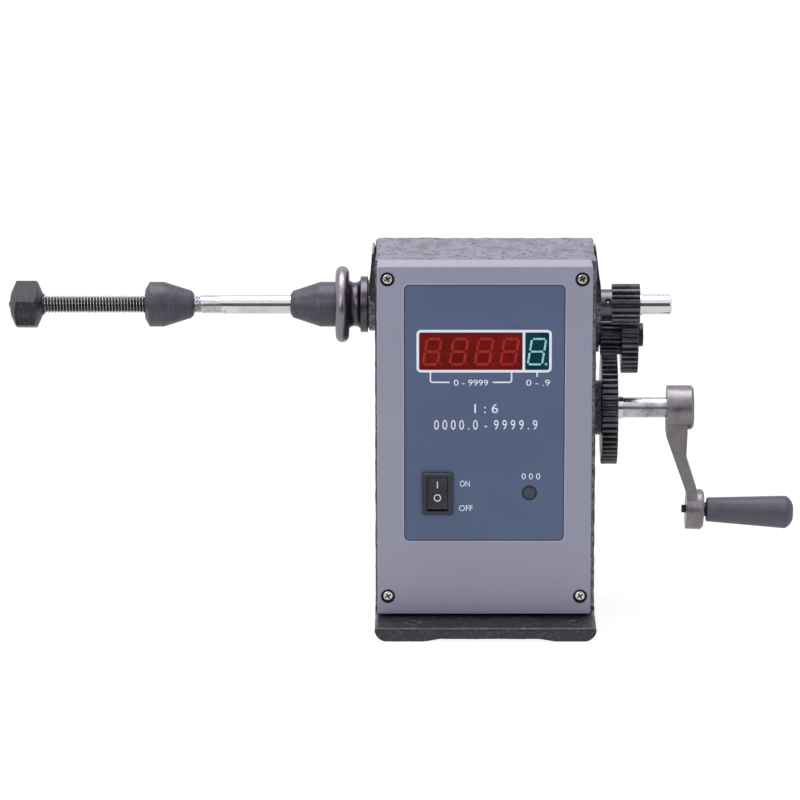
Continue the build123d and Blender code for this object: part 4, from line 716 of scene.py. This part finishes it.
def tinted(name, low, high, grain, rough, ior, glow=0.0):
    """Dyed clear plastic, with a painted glow of its own colour at the glow strength."""
    made, tree, shader = surface(name)
    colour = tones(tree, ramp(tree, cloud(tree, grain), 0.35, 0.65, 0.0, 1.0), low, high)
    tree.links.new(colour, shader.inputs["Base Color"])
    tree.links.new(colour, shader.inputs["Emission Color"])
    shader.inputs["Emission Strength"].default_value = glow
    shader.inputs["Roughness"].default_value = rough
    shader.inputs["IOR"].default_value = ior
    return made


red_window = tinted("red_window", srgb(104, 18, 15), srgb(120, 24, 20), 60.0, 0.3, 1.16)
green_window = tinted("green_window", srgb(10, 50, 62), srgb(16, 66, 78), 60.0, 0.3, 1.16)
red_bar = tinted("red_bar", srgb(158, 34, 34), srgb(176, 46, 46), 700.0, 0.4, 1.2)
# The green segments are painted with a faint glow, though the display is unlit.
green_bar = tinted("green_bar", srgb(122, 196, 196), srgb(164, 226, 222), 700.0, 0.4, 1.2, 0.08)
dress(["count_display"], red_window)
dress(["decimal_display"], green_window)
red_paths = [path for middle in COUNT_DIGITS for path in digit_paths(middle)]
red_points = [point_path(middle, RED_POINT) for middle in COUNT_DIGITS]
green_points = [point_path(DECIMAL_DIGIT, GREEN_POINT)]
for name, paths, width, made, slot in (
    ("count_segments", red_paths, RED_BAR_W, red_bar, "red_display"),
    ("count_points", red_points, RED_POINT, red_bar, "red_display"),
    ("decimal_segments", digit_paths(DECIMAL_DIGIT), GREEN_BAR_W, green_bar, "green_display"),
    ("decimal_point", green_points, GREEN_POINT, green_bar, "green_display"),
):
    strokes(name, paths, width, DISPLAY_FACE, made, slot=slot)

# ---------------------------------------------------------------------------
# Switch and reset button: satin mouldings, the switch snapped into the cover,
# with white marks pressed into the rocker's two faces.
# ---------------------------------------------------------------------------
ROCKER_PIVOT = Vector((-23.4, -41.0, 69.1)) * MM
ROCKER_TILT = math.radians(8.0)
RIDGE_OUT = 2.0
RESET_PLACE = (21.25, 69.3)
RESET_RIM_R, RESET_RIM_W = 3.35, 0.85
FACE_RISE, FACE_RUN = 1.1, 8.2
ROCKER_SLOPE = math.atan2(FACE_RISE, FACE_RUN)
MARK_W, MARK_T = 0.55, 0.04 * MM
BAR_UP, BAR_HALF = 4.2, 1.65
RING_UP, RING_R = -2.25, 1.55

# The switch plastic's blue tint is a painted reflection of the blue overlay round it.
switch_plastic = plain(
    "switch_plastic", srgb(38, 38, 49), srgb(48, 48, 61), 60.0, (0.35, 0.45),
    relief=0.2, relief_grain=3000.0,
)
rocker_plastic = plain("rocker_plastic", srgb(44, 43, 49), srgb(52, 51, 58), 60.0, (0.28, 0.38))
button_plastic = plain("button_plastic", srgb(52, 57, 74), srgb(64, 71, 92), 400.0, (0.3, 0.5))
eased("switch_housing", switch_plastic, 0.35, 3)
eased("power_rocker", rocker_plastic, 0.7, 3)
eased("reset_button", button_plastic, 0.6, 3)
# A ring of painted shade round the reset button, where its hole is dark.
reset_painted_shade = plain("reset_painted_shade", srgb(14, 15, 20), srgb(22, 23, 30), 60.0, (0.5, 0.6))
reset_ring = arc(*RESET_PLACE, RESET_RIM_R, 0, 345, 24)
strokes("reset_rim", [(reset_ring, True)], RESET_RIM_W, OVERLAY_FACE, reset_painted_shade)
rocker_ink = plain("rocker_ink", srgb(212, 212, 216), srgb(222, 222, 226), 100.0, (0.5, 0.6))
back = Vector((0.0, math.cos(ROCKER_TILT), -math.sin(ROCKER_TILT)))
rise = Vector((0.0, math.sin(ROCKER_TILT), math.cos(ROCKER_TILT)))
for name, along, path, closed in (
    ("mark_on", BAR_UP, [(0.0, -BAR_HALF), (0.0, BAR_HALF)], False),
    ("mark_off", RING_UP, arc(0.0, 0.0, RING_R, 0, 342, 20), True),
):
    lean = ROCKER_TILT - math.copysign(ROCKER_SLOPE, along)
    out = RIDGE_OUT + FACE_RISE * abs(along) / FACE_RUN
    middle = ROCKER_PIVOT - back * out * MM + rise * along * MM
    plane = (middle, PANEL[1], (0.0, math.sin(lean), math.cos(lean)))
    strokes(
        name, [(path, closed)], MARK_W, 0.0, rocker_ink, "rocker", "switch_black", plane, MARK_T
    )

# ---------------------------------------------------------------------------
# Spindle: one ground steel bar, stepped, dull along its neck and blackened
# along its thread, whose crests are drawn bright as wear and as a painted
# highlight. At distance x and angle a the thread's radius follows a
# ridge profile of x minus the lead's share of a.
# ---------------------------------------------------------------------------
SPINDLE_Z = 153.8
THREAD = (-231.3, -139.3)
PITCH = 1.5
CREST, ROOT = 4.3, 3.5
RIDGE_GAIN, RIDGE_FLOOR = 1.5, 0.25
RUN_OUT, LEAD_IN = 0.8, 0.25
ROUND = 48
STEPS_PER_TURN = 8
TIP = ((-233.4, 0.0), (-233.4, 1.0), (-232.3, 2.6))
BAR = (
    (-129.2, CREST), (-129.2, 4.55), (-129.1, 4.65), (-72.0, 4.65), (-72.0, 5.5), (76.6, 5.5),
    (76.6, 5.0), (90.5, 5.0), (91.3, 4.2), (91.3, 0.0),
)
BLACK_TO = THREAD[1] - 3.5
STEP_X, NECK_TO = -129.25, -129.15


def lathe(name, x, radii, made, body, slot, middle, part):
    """Turned piece along X about a middle (y, z), with a radius for each station and angle."""
    angles = np.linspace(0.0, 2 * np.pi, ROUND, endpoint=False)
    y = radii * np.cos(angles) + middle[0]
    z = radii * np.sin(angles) + middle[1]
    points = np.stack([np.broadcast_to(x[:, None], y.shape), y, z], -1).reshape(-1, 3) * MM
    rows, columns = np.meshgrid(np.arange(len(x) - 1), np.arange(ROUND), indexing="ij")
    after = (columns + 1) % ROUND
    near, far = rows * ROUND, (rows + 1) * ROUND
    faces = np.stack([far + columns, far + after, near + after, near + columns], -1)
    mesh = bpy.data.meshes.new(name)
    mesh.from_pydata(points.tolist(), [], faces.reshape(-1, 4).tolist())
    mesh.polygons.foreach_set("material_index", np.repeat(part(x[:-1]), ROUND).astype(np.int32))
    shape = bmesh.new()
    shape.from_mesh(mesh)
    bmesh.ops.remove_doubles(shape, verts=shape.verts, dist=0.0001 * MM)
    shape.to_mesh(mesh)
    shape.free()
    return place(name, mesh, made, body, slot, 0.7)


def threaded(x):
    """Radius at each station and angle: a trapezoid ridge that climbs one pitch per turn,
    runs out at the plain shaft and starts smaller at the tip."""
    angles = np.linspace(0.0, 2 * np.pi, ROUND, endpoint=False)
    turn = (x[:, None] - THREAD[0]) / PITCH - angles[None, :] / (2 * np.pi)
    ridge = np.abs(2 * (turn % 1.0) - 1)
    height = np.clip(RIDGE_GAIN * ridge - RIDGE_FLOOR, 0.0, 1.0)
    fade = np.clip((THREAD[1] + RUN_OUT - x) / PITCH, 0.0, 1.0)[:, None]
    started = np.clip((x - THREAD[0]) / PITCH, 0.0, 1.0)[:, None]
    cut = ROOT + (CREST - ROOT) * height
    return (CREST + (cut - CREST) * fade) * (1.0 - LEAD_IN + LEAD_IN * started)


def from_axis(tree, middle):
    """Output of the distance in metres from a line along X at a middle (y, z) in millimetres."""
    shifted = add(tree, "ShaderNodeMapping")
    shifted.inputs["Location"].default_value = (0.0, -middle[0] * MM, -middle[1] * MM)
    shifted.inputs["Scale"].default_value = (0.0, 1.0, 1.0)
    tree.links.new(add(tree, "ShaderNodeTexCoord").outputs["Object"], shifted.inputs["Vector"])
    reach = add(tree, "ShaderNodeVectorMath", operation="LENGTH")
    tree.links.new(shifted.outputs["Vector"], reach.inputs[0])
    return reach.outputs["Value"]


def worn_and_highlit(name, low, high, edge, middle, radii, rough, grain):
    """Blackened steel rubbed towards a brighter tone between two radii from its axis,
    the brighter tone partly a painted highlight.
    """
    made, tree, shader = surface(name, metal=1.0)
    patches = ramp(tree, cloud(tree, grain), 0.3, 0.7, 0.0, 1.0)
    rubbed = ramp(tree, from_axis(tree, middle), radii[0] * MM, radii[1] * MM, 0.0, 1.0)
    blackened = tones(tree, patches, low, high)
    tree.links.new(tones(tree, rubbed, blackened, edge), shader.inputs["Base Color"])
    tree.links.new(ramp(tree, patches, 0.0, 1.0, rough[0], rough[1]), shader.inputs["Roughness"])
    tree.links.new(bumped(tree, cloud(tree, 900.0, 3.0), 0.25, GRAIN_T), shader.inputs["Normal"])
    return made


def bright(name, low, high, rough, grain, relief):
    """Ground steel with fine rings round the shaft, a few dull patches and small stains."""
    made, tree, shader = surface(name, metal=1.0)
    patches = cloud(tree, grain)
    rings = cloud(tree, 40.0, 3.0, (60.0, 1.0, 1.0))
    stains = ramp(tree, cloud(tree, 420.0, 5.0), 0.62, 0.74, 0.0, 0.75)
    clean = tones(tree, ramp(tree, patches, 0.35, 0.75, 0.0, 1.0), high, low)
    tree.links.new(tones(tree, stains, clean, srgb(96, 92, 94)), shader.inputs["Base Color"])
    tree.links.new(ramp(tree, patches, 0.3, 0.75, rough[0], rough[1]), shader.inputs["Roughness"])
    tree.links.new(bumped(tree, rings, relief, 0.02 * MM), shader.inputs["Normal"])
    return made


ground_steel = bright(
    "ground_steel", srgb(204, 201, 206), srgb(230, 228, 233), (0.09, 0.2), 60.0, 0.06
)
neck_steel = bright(
    "neck_steel", srgb(168, 164, 167), srgb(206, 202, 206), (0.18, 0.3), 160.0, 0.1
)
# The thread's crests are drawn bright as wear and as a painted highlight.
thread_black = worn_and_highlit(
    "thread_black", srgb(58, 56, 58), srgb(96, 92, 95), srgb(184, 179, 182), (0.0, SPINDLE_Z),
    (3.8, 4.3), (0.22, 0.34), 300.0,
)
turns = np.arange(THREAD[0], THREAD[1] + PITCH, PITCH / STEPS_PER_TURN)
tip, bar = np.array(TIP), np.array(BAR)
stations = np.concatenate([tip[:, 0], turns, bar[:, 0]])
tip_radii, bar_radii = (np.repeat(steps[:, 1:], ROUND, 1) for steps in (tip, bar))
radii = np.concatenate([tip_radii, threaded(turns), bar_radii])
spindle = lathe(
    "spindle_bar", stations, radii, (ground_steel, neck_steel, thread_black),
    "spindle", "bright_steel", (0.0, SPINDLE_Z),
    lambda x: np.select([x < BLACK_TO, x < STEP_X, x < NECK_TO], [2, 1, 2], 0),
)
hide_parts("spindle")

# ---------------------------------------------------------------------------
# Cones, crank grip and clamp knob: black moulded plastic, satin on the cones
# and the grip, scuffed and gray with handling on the knob.
# ---------------------------------------------------------------------------


def scuffed(name, low, high, speck, rough, ior):
    """Moulded plastic with pale specks and scratches rubbed into it."""
    made, tree, shader = surface(name)
    broad = tones(tree, ramp(tree, cloud(tree, 90.0), 0.35, 0.65, 0.0, 1.0), low, high)
    shader.inputs["IOR"].default_value = ior
    specks = ramp(tree, cloud(tree, 900.0, 5.0), 0.58, 0.68, 0.0, 0.9)
    scratches = ramp(tree, cloud(tree, 240.0, 5.0, (8.0, 1.0, 1.0)), 0.56, 0.66, 0.0, 0.8)
    rubbed = math_node(tree, "MAXIMUM", specks, scratches)
    tree.links.new(tones(tree, rubbed, broad, speck), shader.inputs["Base Color"])
    tree.links.new(ramp(tree, rubbed, 0.0, 1.0, rough[0], rough[1]), shader.inputs["Roughness"])
    tree.links.new(bumped(tree, rubbed, 0.5, 0.05 * MM), shader.inputs["Normal"])
    return made


cone_plastic = scuffed(
    "cone_plastic", srgb(56, 54, 64), srgb(70, 68, 79), srgb(94, 92, 104), (0.4, 0.55), 1.5
)
grip_plastic = plain(
    "grip_plastic", srgb(74, 71, 82), srgb(88, 85, 97), 90.0, (0.4, 0.55),
    relief=0.4, relief_grain=1200.0,
)
knob_plastic = scuffed(
    "knob_plastic", srgb(26, 25, 30), srgb(42, 40, 47), srgb(92, 89, 98), (0.38, 0.6), 1.38
)
eased("fixed_cone", cone_plastic, 0.3, 3)
eased("loose_cone", cone_plastic, 0.3, 3)
eased("handle_grip", grip_plastic, 0.4, 3)
eased("grip_end_cap", grip_plastic, 0.3, 2)
eased("clamp_knob", knob_plastic, 0.5, 3)

# ---------------------------------------------------------------------------
# Belt pulley and gears: turned and hobbed steel, blackened and oiled, worn
# bright along their edges, on the pulley's rim partly as a painted highlight.
# They are held by set screws, a stud and a bolt.
# ---------------------------------------------------------------------------
TOOTH_ANGLE = 0.45

# The pulley's rim is drawn bright as wear and as a painted highlight.
turned_steel = worn_and_highlit(
    "turned_steel", srgb(78, 74, 80), srgb(104, 100, 106), srgb(140, 136, 143), (0.0, SPINDLE_Z),
    (14.5, 17.5), (0.26, 0.4), 150.0,
)
gear_black = plain(
    "gear_black", srgb(84, 81, 86), srgb(116, 112, 119), 110.0, (0.24, 0.36),
    metal=0.85, relief=0.06,
)
bolt_black = plain(
    "bolt_black", srgb(40, 39, 43), srgb(60, 58, 63), 260.0, (0.25, 0.4), metal=0.7, relief=0.3
)
eased("drive_pulley", turned_steel, 0.4, 3)
spindle_line, crank_line, idler_line = (line[:2] for line in SHAFT_LINES)
for node, middle in (
    ("spindle_pinion", spindle_line),
    ("idler_gear_large", idler_line),
    ("idler_gear_small", idler_line),
    ("crank_gear", crank_line),
):
    eased(node, gear_black, 0.18, 2, TOOTH_ANGLE, middle)
for node in ("idler_stud", "idler_washer", "handle_bolt"):
    eased(node, bolt_black, 0.25)
dress(["thrust_washer", "knob_washer", "cover_cups"], bolt_black)
# Painted shade: the set screws, deep in their holes, are drawn near black.
socket_shade = plain("socket_shade", srgb(16, 16, 18), srgb(26, 26, 29), 200.0, (0.6, 0.75))
dress(["spindle_set_screws", "crank_set_screw"], socket_shade)

# ---------------------------------------------------------------------------
# Crank: a dull drawn-steel shaft in bronze bushes, and a cast arm that was
# tumbled but not polished, pinned to it by a set screw.
# ---------------------------------------------------------------------------
SHAFT = (
    (-53.0, 0.0), (-53.0, 4.5), (-52.5, 5.0), (25.0, 5.0), (102.5, 5.0), (103.0, 4.5),
    (103.0, 0.0),
)

arm_metal = plain(
    "arm_metal", srgb(124, 120, 123), srgb(142, 138, 141), 150.0, (0.3, 0.4),
    metal=0.9, relief=0.4, relief_grain=700.0,
)
dull_steel = bright(
    "dull_steel", srgb(150, 147, 150), srgb(206, 203, 207), (0.25, 0.33), 130.0, 0.06
)
eased("crank_arm", arm_metal, 0.7, 3)
shaft = np.array(SHAFT)
shaft_bar = lathe(
    "shaft_bar", shaft[:, 0], np.repeat(shaft[:, 1:], ROUND, 1), dull_steel,
    "crank", slot_of("crank_shaft"), crank_line, np.zeros_like,
)
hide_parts("crank_shaft")
dress(["crank_spacer", "crank_ring"], ground_steel)

# ---------------------------------------------------------------------------
# Screws and inside parts: zinc-plated screws, plates and counter disc, bronze
# bushes, the circuit board and the transformer, all behind the cover.
# ---------------------------------------------------------------------------
COVER_SCREWS = [(x, z) for x in (-47.5, 46.3) for z in (17.0, 175.5)]
HEAD_FACE_Y, CROSS_END_Y = -41.75 * MM, -40.65 * MM
CROSS_R = 1.56 * MM

zinc = plain("zinc", srgb(206, 205, 202), srgb(236, 235, 231), 250.0, (0.14, 0.26), metal=1.0)
# Painted shade: the cross recesses of the cover screws are drawn dark.
cross_shade = plain(
    "cross_shade", srgb(70, 69, 70), srgb(96, 94, 95), 250.0, (0.3, 0.5), metal=0.8
)
screws = eased("cover_screws", [zinc, cross_shade], 0.06, 1)
middles = np.array([face.center for face in screws.data.polygons])
places = np.array(COVER_SCREWS) * MM
apart = middles[:, None, ::2] - places
from_screw = np.hypot(apart[..., 0], apart[..., 1]).min(1)
cross = (from_screw < CROSS_R) & (middles[:, 1] > HEAD_FACE_Y) & (middles[:, 1] < CROSS_END_Y)
screws.data.polygons.foreach_set("material_index", cross.astype(np.int32))
dress(
    ["board_screws", "board_standoffs", "transformer_screws", "sensor_screws", "transformer_strap",
     "sensor_bracket", "slotted_disc", "disc_hub"],
    zinc,
)
bronze = plain("bronze", srgb(82, 66, 48), srgb(112, 92, 66), 300.0, (0.3, 0.5), metal=1.0)
dress(
    ["left_spindle_bush", "right_spindle_bush", "left_crank_bush", "right_crank_bush",
     "knob_insert", "switch_terminals"],
    bronze,
)
oiled_bronze = plain(
    "oiled_bronze", srgb(46, 40, 34), srgb(66, 56, 44), 300.0, (0.3, 0.5), metal=0.9
)
dress(["idler_bush"], oiled_bronze)
dress(["photo_interrupter", "reset_switch_body", "board_components"], switch_plastic)
laminate = plain("laminate", srgb(20, 80, 40), srgb(26, 92, 48), 100.0, (0.3, 0.4))
dress(["circuit_board"], laminate)
stack = plain("stack", srgb(70, 70, 74), srgb(90, 90, 94), 300.0, (0.4, 0.6), metal=0.5)
dress(["transformer_core"], stack)
tape = plain("tape", srgb(190, 160, 40), srgb(205, 175, 60), 100.0, (0.3, 0.5))
dress(["transformer_coil"], tape)
rubber = plain("rubber", srgb(24, 24, 25), srgb(34, 34, 36), 100.0, (0.6, 0.8))
dress(["cable_grommet"], rubber)
